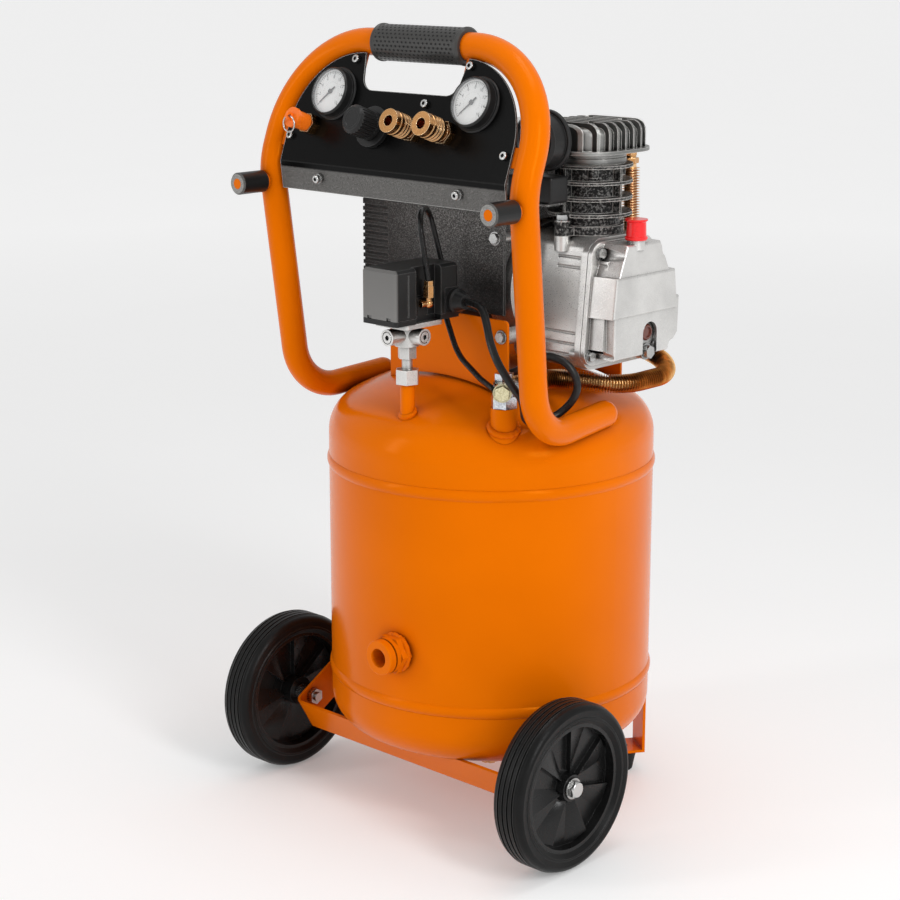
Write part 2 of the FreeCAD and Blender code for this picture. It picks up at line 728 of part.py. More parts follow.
def inspection_port():
    """Front socket: round collar, ring and hexagon welded to the shell."""
    z = LOWER_SEAM_Z + PORT_ABOVE_SEAM
    front = Vector(PORT_X, PORT_FRONT_Y, z)
    back = Vector(PORT_X, -TANK_RADIUS + TANK_WALL, z)
    collar_end = front - FRONT * PORT_COLLAR
    ring_end = collar_end - FRONT * PORT_RING
    collar = rod(PORT_DIAMETER / 2, front, collar_end)
    edge = [e for e in collar.Edges if abs(e.CenterOfMass.y - front.y) < 0.1]
    collar = collar.makeFillet(1.5, edge[:1])
    neck = rod(PORT_DIAMETER / 2 - 1.5, collar_end, ring_end)
    ring_start = collar_end - FRONT * 1.5
    ring = rod(PORT_DIAMETER / 2 + 0.5, ring_start, ring_end)
    base = hexagon(PORT_HEX_FLATS, ring_end, back)
    bore = rod(PORT_BORE / 2, front, back)
    return collar.fuse([neck, ring, base]).cut(bore)


def tank_sockets(tank):
    pipe_top = dome_z(PIPE_X, PIPE_Y) + PIPE_STANDOFF
    check_top = dome_z(CHECK_X, CHECK_Y) + SOCKET_STANDOFF
    feed_top = dome_z(FEED_X, FEED_Y) + SOCKET_STANDOFF
    riser = welded_socket(PIPE_X, PIPE_Y, PIPE_DIAMETER, PIPE_BORE, pipe_top)
    check = welded_socket(CHECK_X, CHECK_Y, SOCKET_DIAMETER, SOCKET_BORE, check_top)
    feed = welded_socket(FEED_X, FEED_Y, SOCKET_DIAMETER, SOCKET_BORE, feed_top)
    drain_top = Vector(0, 0, GROUND_CLEARANCE + DRAIN_STANDOFF)
    drain_end = Vector(0, 0, GROUND_CLEARANCE - DRAIN_STANDOFF)
    drain = pipe(SOCKET_DIAMETER / 2, DRAIN_STEM_DIAMETER / 2, drain_top, drain_end)
    return group([part.cut(tank) for part in (riser, check, feed, drain, inspection_port())])


def drain_body():
    top = Vector(0, 0, GROUND_CLEARANCE - DRAIN_STANDOFF)
    low = top - Z_AXIS * DRAIN_BODY_LENGTH
    body = hexagon(DRAIN_BODY_FLATS, top, low)
    return body.cut(rod(DRAIN_STEM_DIAMETER / 2 + RUNNING_GAP, top, low))


def drain_knob():
    """Turning stem with a fluted knob under the drain body."""
    top = Vector(0, 0, GROUND_CLEARANCE - DRAIN_STANDOFF - 2)
    low = Vector(0, 0, GROUND_CLEARANCE - DRAIN_STANDOFF - DRAIN_BODY_LENGTH - DRAIN_STEM_GAP)
    bottom = low - Z_AXIS * DRAIN_KNOB_HEIGHT
    stem = rod(DRAIN_STEM_DIAMETER / 2, low, top)
    knob = rod(DRAIN_KNOB_DIAMETER / 2, bottom, low)
    flute = rod(2.0, bottom, low)
    for i in range(6):
        angle = math.radians(60 * i)
        offset = Vector(math.cos(angle), math.sin(angle), 0) * (DRAIN_KNOB_DIAMETER / 2 + 0.5)
        knob = knob.cut(flute.translated(offset))
    return stem.fuse(knob)


# ---------------------------------------------------------------- tank supports
def wheel_strap(tank):
    """Bent flat bar under the tank whose cheeks carry the wheel bolts."""
    half = STRAP_SPAN / 2
    inner = half - STRAP_THICKNESS
    low = -STRAP_DROP - STRAP_WIDTH / 2
    high = low + STRAP_WIDTH
    reach = TANK_RADIUS * 0.62
    outer = block(-half, half, -STRAP_SETBACK, reach, low, high)
    outer = rounded(outer, 10, lambda e: is_along(e, Z_AXIS) and e.CenterOfMass.y < 0)
    room = block(-inner, inner, STRAP_THICKNESS - STRAP_SETBACK, reach + 1, low, high)
    room = rounded(room, 10 - STRAP_THICKNESS, lambda e: is_along(e, Z_AXIS) and e.CenterOfMass.y < 0)
    strap = outer.cut(room)
    hole = WHEEL_BOLT_DIAMETER / 2 + SEAT_GAP
    strap = strap.cut(rod(hole, Vector(-half, 0, 0), Vector(half, 0, 0)))
    strap.Placement = Placement(Vector(0, -AXLE_FORWARD, AXLE_Z), Rotation(X_AXIS, STRAP_TILT))
    return strap.cut(tank)


def foot_bracket():
    """Leg of a rear foot: drawn along +X, then turned round the tank's axis."""
    outer = TANK_RADIUS + BEAD_PROUD - 1.2
    top = BOTTOM_SPRING_Z + 11
    half = FOOT_WIDTH / 2
    leg = block(outer - FOOT_SHEET, outer, -half, half, FOOT_PLATE_Z, top)
    leg = rounded(leg, 6, lambda e: is_along(e, X_AXIS) and e.CenterOfMass.z > FOOT_PLATE_Z + 1)
    plate_top = FOOT_PLATE_Z + FOOT_SHEET
    plate = block(outer - FOOT_REACH, outer, -half, half, FOOT_PLATE_Z, plate_top)
    plate = rounded(plate, 6, lambda e: is_along(e, Z_AXIS) and e.CenterOfMass.x < outer - 1)
    centre = Vector(outer - FOOT_REACH / 2 - 2, 0, FOOT_PLATE_Z)
    hole = rod(FOOT_SCREW_DIAMETER / 2 + PAD_GAP, centre, centre + Z_AXIS * FOOT_SHEET)
    return leg.fuse(plate).cut(hole)


def turned_foot(shape, angle):
    placed = shape.copy()
    placed.rotate(Vector(0, 0, 0), Z_AXIS, 90 + angle)
    return placed


def rear_foot_brackets(tank):
    bracket = foot_bracket()
    sides = [turned_foot(bracket, angle) for angle in (FOOT_ANGLE, -FOOT_ANGLE)]
    return group([side.cut(tank) for side in sides])


def rear_feet():
    """Tapered rubber feet with a stem and button through the plate."""
    x = TANK_RADIUS + BEAD_PROUD - 1.2 - FOOT_REACH / 2 - 2
    plate_top = FOOT_PLATE_Z + FOOT_SHEET
    low = FOOT_BOTTOM_DIAMETER / 2
    high = FOOT_TOP_DIAMETER / 2
    stem = FOOT_SCREW_DIAMETER / 2
    button = FOOT_SCREW_DIAMETER
    outline = [(low - 2, 0), (low, 2), (high, FOOT_PLATE_Z - 3), (high - 1, FOOT_PLATE_Z)]
    outline += [(stem, FOOT_PLATE_Z), (stem, plate_top), (button, plate_top)]
    outline += [(stem, plate_top + 4), (0, plate_top + 4)]
    foot = lathe((0, 0), outline, Vector(x, 0, 0))
    return group([turned_foot(foot, FOOT_ANGLE), turned_foot(foot, -FOOT_ANGLE)])


# ---------------------------------------------------------------- wheels
def to_wheel(shape):
    """Move a wheel piece drawn about the X axis to the right-hand wheel."""
    return shape.translated(Vector(WHEEL_TRACK / 2, -AXLE_FORWARD, AXLE_Z))


def tread(radius):
    steps = []
    pitch = WHEEL_WIDTH * 0.16
    for i in range(4):
        middle = (i - 1.5) * pitch
        steps += [(radius, middle - 1.2), (radius - TYRE_GROOVE, middle - 0.8)]
        steps += [(radius - TYRE_GROOVE, middle + 0.8), (radius, middle + 1.2)]
    return steps


def tyre():
    """Solid tyre with four tread grooves, round shoulders and a raised sidewall ring."""
    radius = WHEEL_DIAMETER / 2
    seat = radius - TYRE_DEPTH + SEAT_GAP
    half = WHEEL_WIDTH / 2
    shoulder = radius - 1.0
    steps = [(seat + 4, 1.2 - half), (seat + 5, 0.3 - half), (seat + 7, 0.3 - half)]
    steps += [(seat + 8, 1.0 - half), (radius - 7, -half)]
    steps += [((radius - 2.6, 2.6 - half), (shoulder, 6.5 - half))]
    steps += tread(radius)
    steps += [(shoulder, half - 6.5), ((radius - 2.6, half - 2.6), (radius - 7, half))]
    steps += [(seat + 8, half - 1.0), (seat + 7, half - 0.3), (seat + 5, half - 0.3)]
    steps += [(seat + 4, half - 1.2), (seat, half - 4)]
    return to_wheel(lathe((seat, 4 - half), steps, axis=X_AXIS))


def blade(radius, rise, span):
    """Section of a fan blade: a ramp with one upright edge."""
    points = [Vector(0, 0, radius), Vector(0, span, radius), Vector(rise, 0, radius)]
    return Part.makePolygon(points + points[:1])


def hub_blades(face_x):
    inner = HUB_BOSS_DIAMETER / 2 + 1
    outer = WHEEL_DIAMETER / 2 - TYRE_DEPTH - RIM_WALL - 3
    wide = 2 * math.pi * outer / BLADES * 0.62
    narrow = 2 * math.pi * inner / BLADES * 0.5
    sections = [blade(inner, BLADE_RISE, narrow), blade(outer, BLADE_RISE, wide)]
    one = Part.makeLoft(sections, True)
    room = rod(outer + 4, Vector(-1, 0, 0), Vector(BLADE_RISE + 1, 0, 0))
    one = one.common(room).translated(Vector(face_x - 0.6, 0, 0))
    blades = []
    for i in range(BLADES):
        copy = one.copy()
        copy.rotate(Vector(0, 0, 0), X_AXIS, 360.0 * i / BLADES)
        blades.append(copy)
    return blades


def hub():
    rim = WHEEL_DIAMETER / 2 - TYRE_DEPTH
    inside = rim - RIM_WALL
    half = WHEEL_WIDTH / 2 - 4
    boss = HUB_BOSS_DIAMETER / 2
    bore = WHEEL_BOLT_DIAMETER / 2 + RUNNING_GAP
    steps = [(boss, -HUB_INNER), (boss, 0), (inside, 0), (inside, -half), (rim, -half), (rim, half)]
    steps += [(inside, half), (inside, HUB_WEB), (boss, HUB_WEB), (boss - 2, HUB_OUTER), (bore, HUB_OUTER)]
    body = lathe((bore, -HUB_INNER), steps, axis=X_AXIS)
    blades = hub_blades(HUB_WEB)
    blades += [mirrored(b) for b in hub_blades(0)]
    return to_wheel(body.fuse(blades))


def wheel_bolt():
    """Shouldered bolt, washers and nut of the right-hand wheel."""
    origin = Vector(0, -AXLE_FORWARD, AXLE_Z)
    radius = WHEEL_BOLT_DIAMETER / 2
    hub_in = WHEEL_TRACK / 2 - HUB_INNER - PAD_GAP
    hub_out = WHEEL_TRACK / 2 + HUB_OUTER + PAD_GAP
    cheek_out = STRAP_SPAN / 2
    cheek_in = cheek_out - STRAP_THICKNESS
    nut_in = cheek_in - WHEEL_BOLT_HEAD
    at = lambda x: origin + X_AXIS * x
    shaft = rod(radius, at(nut_in - 3), at(hub_out + 1))
    spacer = rod(radius + 4, at(cheek_out), at(hub_in))
    nut_piece = hexagon(WHEEL_BOLT_FLATS, at(nut_in), at(cheek_in))
    washer_end = hub_out + WASHER_THICKNESS
    washer = rod(WASHER_DIAMETER / 2, at(hub_out), at(washer_end))
    head = hexagon(WHEEL_BOLT_FLATS, at(washer_end), at(washer_end + WHEEL_BOLT_HEAD - 1), 12)
    bevel = lathe((0, 0), [(9.2, 0), (9.2, 4.2), (7.4, 6), (0, 6)], at(washer_end), X_AXIS)
    return fuse_all(shaft, spacer, nut_piece, washer, head.common(bevel))


# ---------------------------------------------------------------- handle frame
def handle_points():
    end = Vector(TUBE_END_X, TUBE_END_Y, TUBE_END_Z)
    bend = Vector(BEND_X, BEND_Y, BEND_Z)
    kink = KINK + X_AXIS * (HANDLE_WIDTH / 2)
    corner = kink + PANEL_UP * UPPER_LENGTH
    half = [end, bend, kink, corner]
    other = [Vector(-p.x, p.y, p.z) for p in half]
    return half + other[::-1]


def handle_tube():
    """Hollow bent tube with rounded closed ends."""
    points = handle_points()
    radii = [LOWER_RADIUS, KINK_RADIUS, CORNER_RADIUS, CORNER_RADIUS, KINK_RADIUS, LOWER_RADIUS]
    outer = sweep(points, radii, TUBE_RADIUS)
    inner = sweep(points, radii, TUBE_RADIUS - TUBE_WALL)
    caps = [Part.makeSphere(TUBE_RADIUS, points[0]), Part.makeSphere(TUBE_RADIUS, points[-1])]
    return outer.fuse(caps).cut(inner)


def hook_pins():
    y = HOOK_Y
    z = KINK_Z - HOOK_BELOW_KINK
    x = HANDLE_WIDTH / 2 - LEG_SPREAD * HOOK_BELOW_KINK / LEG_RISE
    root = Vector(x, y - TUBE_RADIUS + TUBE_WALL, z)
    tip = Vector(x, y - HOOK_REACH, z)
    pin = rod(HOOK_PIN_DIAMETER / 2, root, tip)
    collar = rod(HOOK_PIN_DIAMETER / 2 + WELD_SIZE, root, root + FRONT * (TUBE_WALL + WELD_SIZE * 0.6))
    return both_sides(pin.fuse(collar))


def hook_sleeves():
    z = KINK_Z - HOOK_BELOW_KINK
    x = HANDLE_WIDTH / 2 - LEG_SPREAD * HOOK_BELOW_KINK / LEG_RISE
    tip = Vector(x, HOOK_Y - HOOK_REACH, z)
    outer = HOOK_SLEEVE_DIAMETER / 2
    bore = HOOK_PIN_DIAMETER / 2 + SEAT_GAP
    length = HOOK_SLEEVE_LENGTH
    steps = [(outer - 1.5, 0), (outer, 1.5), (outer, length - 1), (outer - 1, length), (bore, length)]
    return group(both_sides(lathe((bore, 0), steps, tip, Y_AXIS)))


def panel_tabs():
    """Welded lugs behind the panel for its upper and side screws."""
    back = PANEL_FRONT - PANEL_SHEET
    base = back - TAB_THICKNESS
    half = TAB_WIDTH / 2
    tube_inside = HANDLE_WIDTH / 2 - TUBE_RADIUS
    top = block(TOP_SCREW_X - half, TOP_SCREW_X + half, TOP_SCREW_HEIGHT - 9, UPPER_LENGTH - 10, base, back)
    low = SIDE_SCREW_HEIGHT - half
    side = block(SIDE_SCREW_X - 9, tube_inside + 4, low, low + TAB_WIDTH, base, back)
    hole = SCREW_DIAMETER / 2 + SEAT_GAP
    top = top.cut(flat_rod(hole, TOP_SCREW_X, TOP_SCREW_HEIGHT, base, back))
    side = side.cut(flat_rod(hole, SIDE_SCREW_X, SIDE_SCREW_HEIGHT, base, back))
    return [panel_place(tab) for tab in both_sides(top) + both_sides(side)]


def flat_rod(radius, x, height, low, high):
    """Rod square to the panel, drawn flat."""
    return rod(radius, Vector(x, height, low), Vector(x, height, high))


def handle_frame(tank):
    tube = handle_tube()
    tabs = panel_tabs()
    points = handle_points()
    straight = UPPER_LENGTH - CORNER_RADIUS - 1
    hollow = rod(TUBE_RADIUS - 0.5, points[2] + PANEL_UP * 5, points[2] + PANEL_UP * straight)
    top_from = Vector(-CORNER_RADIUS, 0, 0) + points[3]
    top_hollow = rod(TUBE_RADIUS - 0.5, top_from, Vector(-top_from.x, top_from.y, top_from.z))
    tabs = [tab.cut([hollow, mirrored(hollow), top_hollow]) for tab in tabs]
    return tube.fuse(hook_pins() + tabs).cut(tank)


def handle_grip():
    """Rubber sleeve round the straight top of the handle."""
    middle = KINK + PANEL_UP * UPPER_LENGTH + X_AXIS * GRIP_SHIFT
    half = GRIP_LENGTH / 2
    outer = GRIP_DIAMETER / 2
    rim = outer + GRIP_RIM_PROUD
    bore = TUBE_RADIUS + SEAT_GAP
    steps = [(rim - 2, -half), (rim, 2 - half), (rim, GRIP_RIM - half), (outer, GRIP_RIM + 1 - half)]
    steps += [(outer, half - GRIP_RIM - 1), (rim, half - GRIP_RIM), (rim, half - 2), (rim - 2, half)]
    steps += [(bore, half)]
    return lathe((bore, -half), steps, middle, X_AXIS)


# ---------------------------------------------------------------- control panel
FOLD_ANGLE = LEAN + math.atan2(LEG_FORWARD, LEG_RISE)
BAND_DOWN = Vector(0, -math.cos(FOLD_ANGLE), -math.sin(FOLD_ANGLE))
BAND_OUT = Vector(0, -math.sin(FOLD_ANGLE), math.cos(FOLD_ANGLE))


def panel_section():
    """Side view of the folded sheet, drawn flat in (height, out)."""
    top = UPPER_LENGTH - PANEL_TOP_DROP
    fold = Vector(0, PANEL_FOLD, PANEL_FRONT)
    end = fold + BAND_DOWN * BAND_HEIGHT
    back = PANEL_FRONT - PANEL_SHEET
    inner_fold = Vector(0, PANEL_FOLD + PANEL_SHEET * math.tan(FOLD_ANGLE / 2), back)
    points = [Vector(0, top, PANEL_FRONT), fold, end, end - BAND_OUT * PANEL_SHEET]
    points += [inner_fold, Vector(0, top, back)]
    face = Part.Face(Part.makePolygon(points + points[:1]))
    sheet = face.translated(Vector(-PANEL_WIDTH / 2, 0, 0)).extrude(X_AXIS * PANEL_WIDTH)
    on_fold = lambda e: is_along(e, X_AXIS) and (e.CenterOfMass - fold).Length < 0.5
    return rounded(sheet, 2.5, on_fold)


def panel_outline():
    """Rounded front view of the panel, open behind the grip."""
    half = PANEL_WIDTH / 2
    top = UPPER_LENGTH - PANEL_TOP_DROP
    low = -BAND_HEIGHT - 5
    radius = PANEL_CORNER
    turn = radius * math.sqrt(0.5)
    arc_x = half - radius
    arc_y = top - radius
    steps = [(half, low), (half, arc_y), ((arc_x + turn, arc_y + turn), (arc_x, top))]
    steps += [(-arc_x, top), ((-arc_x - turn, arc_y + turn), (-half, arc_y))]
    wire = chain((-half, low), steps, lambda p: Vector(p[0], p[1], -40))
    return Part.Face(wire).extrude(Z_AXIS * 80)


def hand_opening():
    top = UPPER_LENGTH + 5
    points = [(HAND_BOTTOM_WIDTH / 2, HAND_BOTTOM), (HAND_TOP_WIDTH / 2, top)]
    points += [(-HAND_TOP_WIDTH / 2, top), (-HAND_BOTTOM_WIDTH / 2, HAND_BOTTOM)]
    prism = face_along(Z_AXIS, Vector(GRIP_SHIFT, 0, -40), points).extrude(Z_AXIS * 80)
    low = lambda e: is_along(e, Z_AXIS) and e.CenterOfMass.y < HAND_BOTTOM + 1
    return rounded(prism, HAND_CORNER, low)


def band_point(x):
    """Middle of a lower screw on the band's front face, drawn flat."""
    fold = Vector(x, PANEL_FOLD, PANEL_FRONT)
    return fold + BAND_DOWN * BAND_SCREW_DROP


def screw_places():
    places = [(x, TOP_SCREW_HEIGHT) for x in (-TOP_SCREW_X, TOP_SCREW_X)]
    places += [(x, SIDE_SCREW_HEIGHT) for x in (-SIDE_SCREW_X, SIDE_SCREW_X)]
    return places + [(MIDDLE_SCREW_X, MIDDLE_SCREW_HEIGHT)]


def panel_holes():
    screw = SCREW_DIAMETER / 2 + SEAT_GAP
    holes = [flat_rod(screw, x, y, -40, 40) for x, y in screw_places()]
    for x in (-BAND_SCREW_X, BAND_SCREW_X):
        centre = band_point(x)
        holes.append(rod(screw, centre - BAND_OUT * 10, centre + BAND_OUT * 10))
    stem = GAUGE_STEM_DIAMETER / 2 + SEAT_GAP
    for x in (-GAUGE_SPACING / 2, GAUGE_SPACING / 2):
        holes.append(flat_rod(stem, x, GAUGE_HEIGHT, -40, 40))
    holes.append(flat_rod(REGULATOR_NECK / 2 + SEAT_GAP, REGULATOR_X, ROW_HEIGHT, -40, 40))
    for x in COUPLING_X:
        holes.append(flat_rod(COUPLING_STEM / 2 + SEAT_GAP, x, ROW_HEIGHT, -40, 40))
    holes.append(flat_rod(SAFETY_STEM / 2 + SEAT_GAP, SAFETY_X, SAFETY_HEIGHT, -40, 40))
    return holes


def control_panel():
    sheet = panel_section().common(panel_outline())
    sheet = sheet.cut([hand_opening()] + panel_holes())
    return panel_place(sheet)


def screw_head(centre, out):
    """Round socket head seated on a point, with its shank behind."""
    head = rod(SCREW_HEAD_DIAMETER / 2, centre, centre + out * SCREW_HEAD_HEIGHT)
    rim = [e for e in head.Edges if e.Curve.TypeId == "Part::GeomCircle"]
    rim = [e for e in rim if (e.CenterOfMass - centre).Length > SCREW_HEAD_HEIGHT / 2]
    head = head.makeFillet(1.0, rim)
    socket = hexagon(3.6, centre + out * (SCREW_HEAD_HEIGHT - 2), centre + out * (SCREW_HEAD_HEIGHT + 1))
    return head.cut(socket)


def panel_screws():
    shank = SCREW_DIAMETER / 2
    pieces = []
    for x, y in screw_places():
        centre = Vector(x, y, PANEL_FRONT)
        body = flat_rod(shank, x, y, PANEL_FRONT - PANEL_SHEET - TAB_THICKNESS - 1, PANEL_FRONT)
        pieces.append(panel_place(screw_head(centre, Z_AXIS).fuse(body)))
    for x in (-BAND_SCREW_X, BAND_SCREW_X):
        centre = band_point(x)
        seat = centre + BAND_OUT * BAND_SPACER_LENGTH
        spacer = rod(BAND_SPACER_DIAMETER / 2, centre, seat)
        back = centre - BAND_OUT * PANEL_SHEET
        body = rod(shank, back - BAND_OUT * 6, seat)
        locknut = hexagon(8, back, back - BAND_OUT * 4)
        pieces.append(panel_place(screw_head(seat, BAND_OUT).fuse([spacer, body, locknut])))
    return group(pieces)


# ---------------------------------------------------------------- air line
def air_bar(x0, x1):
    half = BAR_SIZE / 2
    bar = block(x0, x1, ROW_HEIGHT - half, ROW_HEIGHT + half, -BAR_DEPTH - BAR_SIZE, -BAR_DEPTH)
    return rounded(bar, 1.5, lambda e: is_along(e, X_AXIS))


def gauge_riser(x):
    """Upright pipe and elbow from the bar to the back of a gauge."""
    depth = -BAR_DEPTH - BAR_SIZE / 2
    foot = Vector(x, ROW_HEIGHT + BAR_SIZE / 2 - 1, depth)
    head = Vector(x, GAUGE_HEIGHT, depth)
    riser = rod(GAUGE_STEM_DIAMETER / 2, foot, head)
    elbow = Part.makeSphere(GAUGE_STEM_DIAMETER / 2 + 1, head)
    socket = hexagon(GAUGE_STEM_DIAMETER + 3, head, Vector(x, GAUGE_HEIGHT, -BAR_DEPTH))
    return riser.fuse([elbow, socket])


def feed_points():
    socket_top = Vector(FEED_X, FEED_Y, dome_z(FEED_X, FEED_Y) + SOCKET_STANDOFF)
    bar_back = on_panel(FEED_BAR_X, ROW_HEIGHT, -BAR_DEPTH - BAR_SIZE)
    turn = bar_back - PANEL_OUT * 44
    over = Vector(FEED_X, FEED_Y, turn.z + 16)
    return [socket_top + Z_AXIS, over, turn, bar_back - PANEL_OUT]


def feed_pipe():
    points = feed_points()
    line = sweep(points, [FEED_PIPE_DIAMETER * 2.2] * 2, FEED_PIPE_DIAMETER / 2)
    low = points[0] - Z_AXIS
    high = points[3] + PANEL_OUT
    nuts = [hexagon(FEED_NUT_FLATS, low, low + Z_AXIS * FEED_NUT_LENGTH)]
    nuts.append(hexagon(FEED_NUT_FLATS, high - PANEL_OUT * FEED_NUT_LENGTH, high))
    return line.fuse(nuts)


def inlet_manifold():
    x0 = SAFETY_X - BAR_SIZE * 0.7
    bar = air_bar(x0, REGULATOR_X - REGULATOR_SIZE / 2).fuse(gauge_riser(-GAUGE_SPACING / 2))
    socket = flat_rod(SAFETY_STEM / 2 + SEAT_GAP, SAFETY_X, SAFETY_HEIGHT, -BAR_DEPTH - 9, -BAR_DEPTH)
    return group([panel_place(bar.cut(socket)), feed_pipe()])


def outlet_manifold():
    """Bar that feeds both couplings and the right gauge, with its panel lug."""
    x0 = REGULATOR_X + REGULATOR_SIZE / 2
    x1 = GAUGE_SPACING / 2 + BAR_SIZE * 0.6
    back = PANEL_FRONT - PANEL_SHEET
    bar = air_bar(x0, x1).fuse(gauge_riser(GAUGE_SPACING / 2))
    step = block(MIDDLE_SCREW_X - 8, MIDDLE_SCREW_X + 8, ROW_HEIGHT + 2, ROW_HEIGHT + 11, -BAR_DEPTH - 2, 2)
    lug_top = MIDDLE_SCREW_HEIGHT + 8
    lug = block(MIDDLE_SCREW_X - 8, MIDDLE_SCREW_X + 8, ROW_HEIGHT + 8, lug_top, 2, back)
    bar = bar.fuse([step, lug])
    hole = SCREW_DIAMETER / 2 + SEAT_GAP
    cuts = [flat_rod(hole, MIDDLE_SCREW_X, MIDDLE_SCREW_HEIGHT, -10, back)]
    for x in COUPLING_X:
        cuts.append(flat_rod(COUPLING_STEM / 2 + SEAT_GAP, x, ROW_HEIGHT, -BAR_DEPTH - 9, back))
    return panel_place(bar.cut(cuts))


def regulator_body():
    """Block between the bars, its threaded neck, ring nut and spindle."""
    half = REGULATOR_SIZE / 2
    back = PANEL_FRONT - PANEL_SHEET
    deep = -BAR_DEPTH - BAR_SIZE - 22
    core = block(REGULATOR_X - half, REGULATOR_X + half, ROW_HEIGHT - half, ROW_HEIGHT + half, deep, back)
    core = rounded(core, 5, lambda e: is_along(e, Z_AXIS))
    ring_top = PANEL_FRONT + REGULATOR_NUT_HEIGHT
    neck = flat_rod(REGULATOR_NECK / 2, REGULATOR_X, ROW_HEIGHT, back - 1, ring_top + 1)
    ring = flat_rod(REGULATOR_NUT / 2, REGULATOR_X, ROW_HEIGHT, PANEL_FRONT, ring_top)
    spindle = flat_rod(4, REGULATOR_X, ROW_HEIGHT, ring_top, ring_top + KNOB_LENGTH - 8)
    return panel_place(core.fuse([neck, ring, spindle]))


def regulator_knob():
    base = PANEL_FRONT + REGULATOR_NUT_HEIGHT + 1 + KNOB_GAP
    radius = KNOB_DIAMETER / 2
    centre = Vector(REGULATOR_X, ROW_HEIGHT, base)
    steps = [(radius, 0), (radius, KNOB_LENGTH - 3), (radius - 3, KNOB_LENGTH), (radius - 6, KNOB_LENGTH)]
    steps += [(radius - 7, KNOB_LENGTH - 1), (0, KNOB_LENGTH - 1)]
    knob = lathe((0, 0), steps, centre)
    bore = rod(4 + RUNNING_GAP, centre, centre + Z_AXIS * (KNOB_LENGTH - 8))
    flute = rod(1.1, centre + Z_AXIS * 4, centre + Z_AXIS * KNOB_LENGTH)
    flutes = []
    for i in range(KNOB_RIBS):
        angle = 2 * math.pi * i / KNOB_RIBS
        flutes.append(flute.translated(Vector(math.cos(angle), math.sin(angle), 0) * (radius + 0.3)))
    return panel_place(knob.cut([bore] + flutes))


def gauge_case(x):
    """Cup with a mounting flange, a stem and a recess for dial and lens."""
    top = PANEL_FRONT + GAUGE_DEPTH
    floor = top - DIAL_DEPTH - DIAL_THICKNESS
    radius = GAUGE_DIAMETER / 2
    stem = GAUGE_STEM_DIAMETER / 2
    wide = GAUGE_FLANGE / 2
    flange_top = PANEL_FRONT + GAUGE_FLANGE_DEPTH
    steps = [(stem, -BAR_DEPTH), (stem, PANEL_FRONT), (wide, PANEL_FRONT), (wide, flange_top - 0.8)]
    steps += [(wide - 0.8, flange_top), (radius, flange_top), (radius, top - 1.5), (radius - 1.2, top)]
    steps += [(radius - GAUGE_WALL, top), (radius - GAUGE_WALL, floor), (0, floor)]
    return panel_place(lathe((0, -BAR_DEPTH), steps, Vector(x, GAUGE_HEIGHT, 0)))


def gauge_dial(x):
    top = PANEL_FRONT + GAUGE_DEPTH - DIAL_DEPTH
    radius = GAUGE_DIAMETER / 2 - GAUGE_WALL - SEAT_GAP
    disc = flat_rod(radius, x, GAUGE_HEIGHT, top - DIAL_THICKNESS, top)
    pin = flat_rod(NEEDLE_PIN_DIAMETER / 2, x, GAUGE_HEIGHT, top, top + 1.4)
    return panel_place(disc.fuse(pin))


def gauge_lens(x):
    top = PANEL_FRONT + GAUGE_DEPTH - 0.6
    radius = GAUGE_DIAMETER / 2 - GAUGE_WALL - SEAT_GAP
    return panel_place(flat_rod(radius, x, GAUGE_HEIGHT, top - LENS_THICKNESS, top))


def gauge_needle(x):
    """Tapered hand with a round hub, resting at its zero."""
    base = PANEL_FRONT + GAUGE_DEPTH - DIAL_DEPTH + 0.6
    half = NEEDLE_WIDTH / 2
    points = [(-NEEDLE_TAIL, -half), (0, -half), (NEEDLE_LENGTH, -0.25), (NEEDLE_LENGTH, 0.25)]
    points += [(0, half), (-NEEDLE_TAIL, half)]
    hand = face_along(Z_AXIS, Vector(0, 0, base), points).extrude(Z_AXIS * NEEDLE_THICKNESS)
    cap = rod(NEEDLE_HUB_DIAMETER / 2, Vector(0, 0, base - 0.2), Vector(0, 0, base + 1.2))
    bore = rod(NEEDLE_PIN_DIAMETER / 2 + 0.04, Vector(0, 0, base - 1), Vector(0, 0, base + 0.9))
    needle = hand.fuse(cap).cut(bore)
    needle.rotate(Vector(0, 0, 0), Z_AXIS, NEEDLE_ZERO)
    return panel_place(needle.translated(Vector(x, GAUGE_HEIGHT, 0)))


def coupling_body(x):
    """Quick coupling: hexagon, barrel, front ring and plug bore."""
    hex_top = PANEL_FRONT + COUPLING_HEX
    end = PANEL_FRONT + COUPLING_LENGTH
    nose = end - COUPLING_NOSE_LENGTH
    at = lambda z: Vector(x, ROW_HEIGHT, z)
    hex_piece = hexagon(COUPLING_FLATS, at(PANEL_FRONT), at(hex_top))
    barrel = rod(COUPLING_BARREL / 2, at(hex_top), at(nose))
    stem = rod(COUPLING_STEM / 2, at(-BAR_DEPTH - 8), at(PANEL_FRONT))
    front = rod(COUPLING_NOSE / 2, at(nose), at(end))
    bore = rod(COUPLING_BORE / 2, at(end - COUPLING_BORE_DEPTH), at(end))
    return panel_place(hex_piece.fuse([barrel, stem, front]).cut(bore))


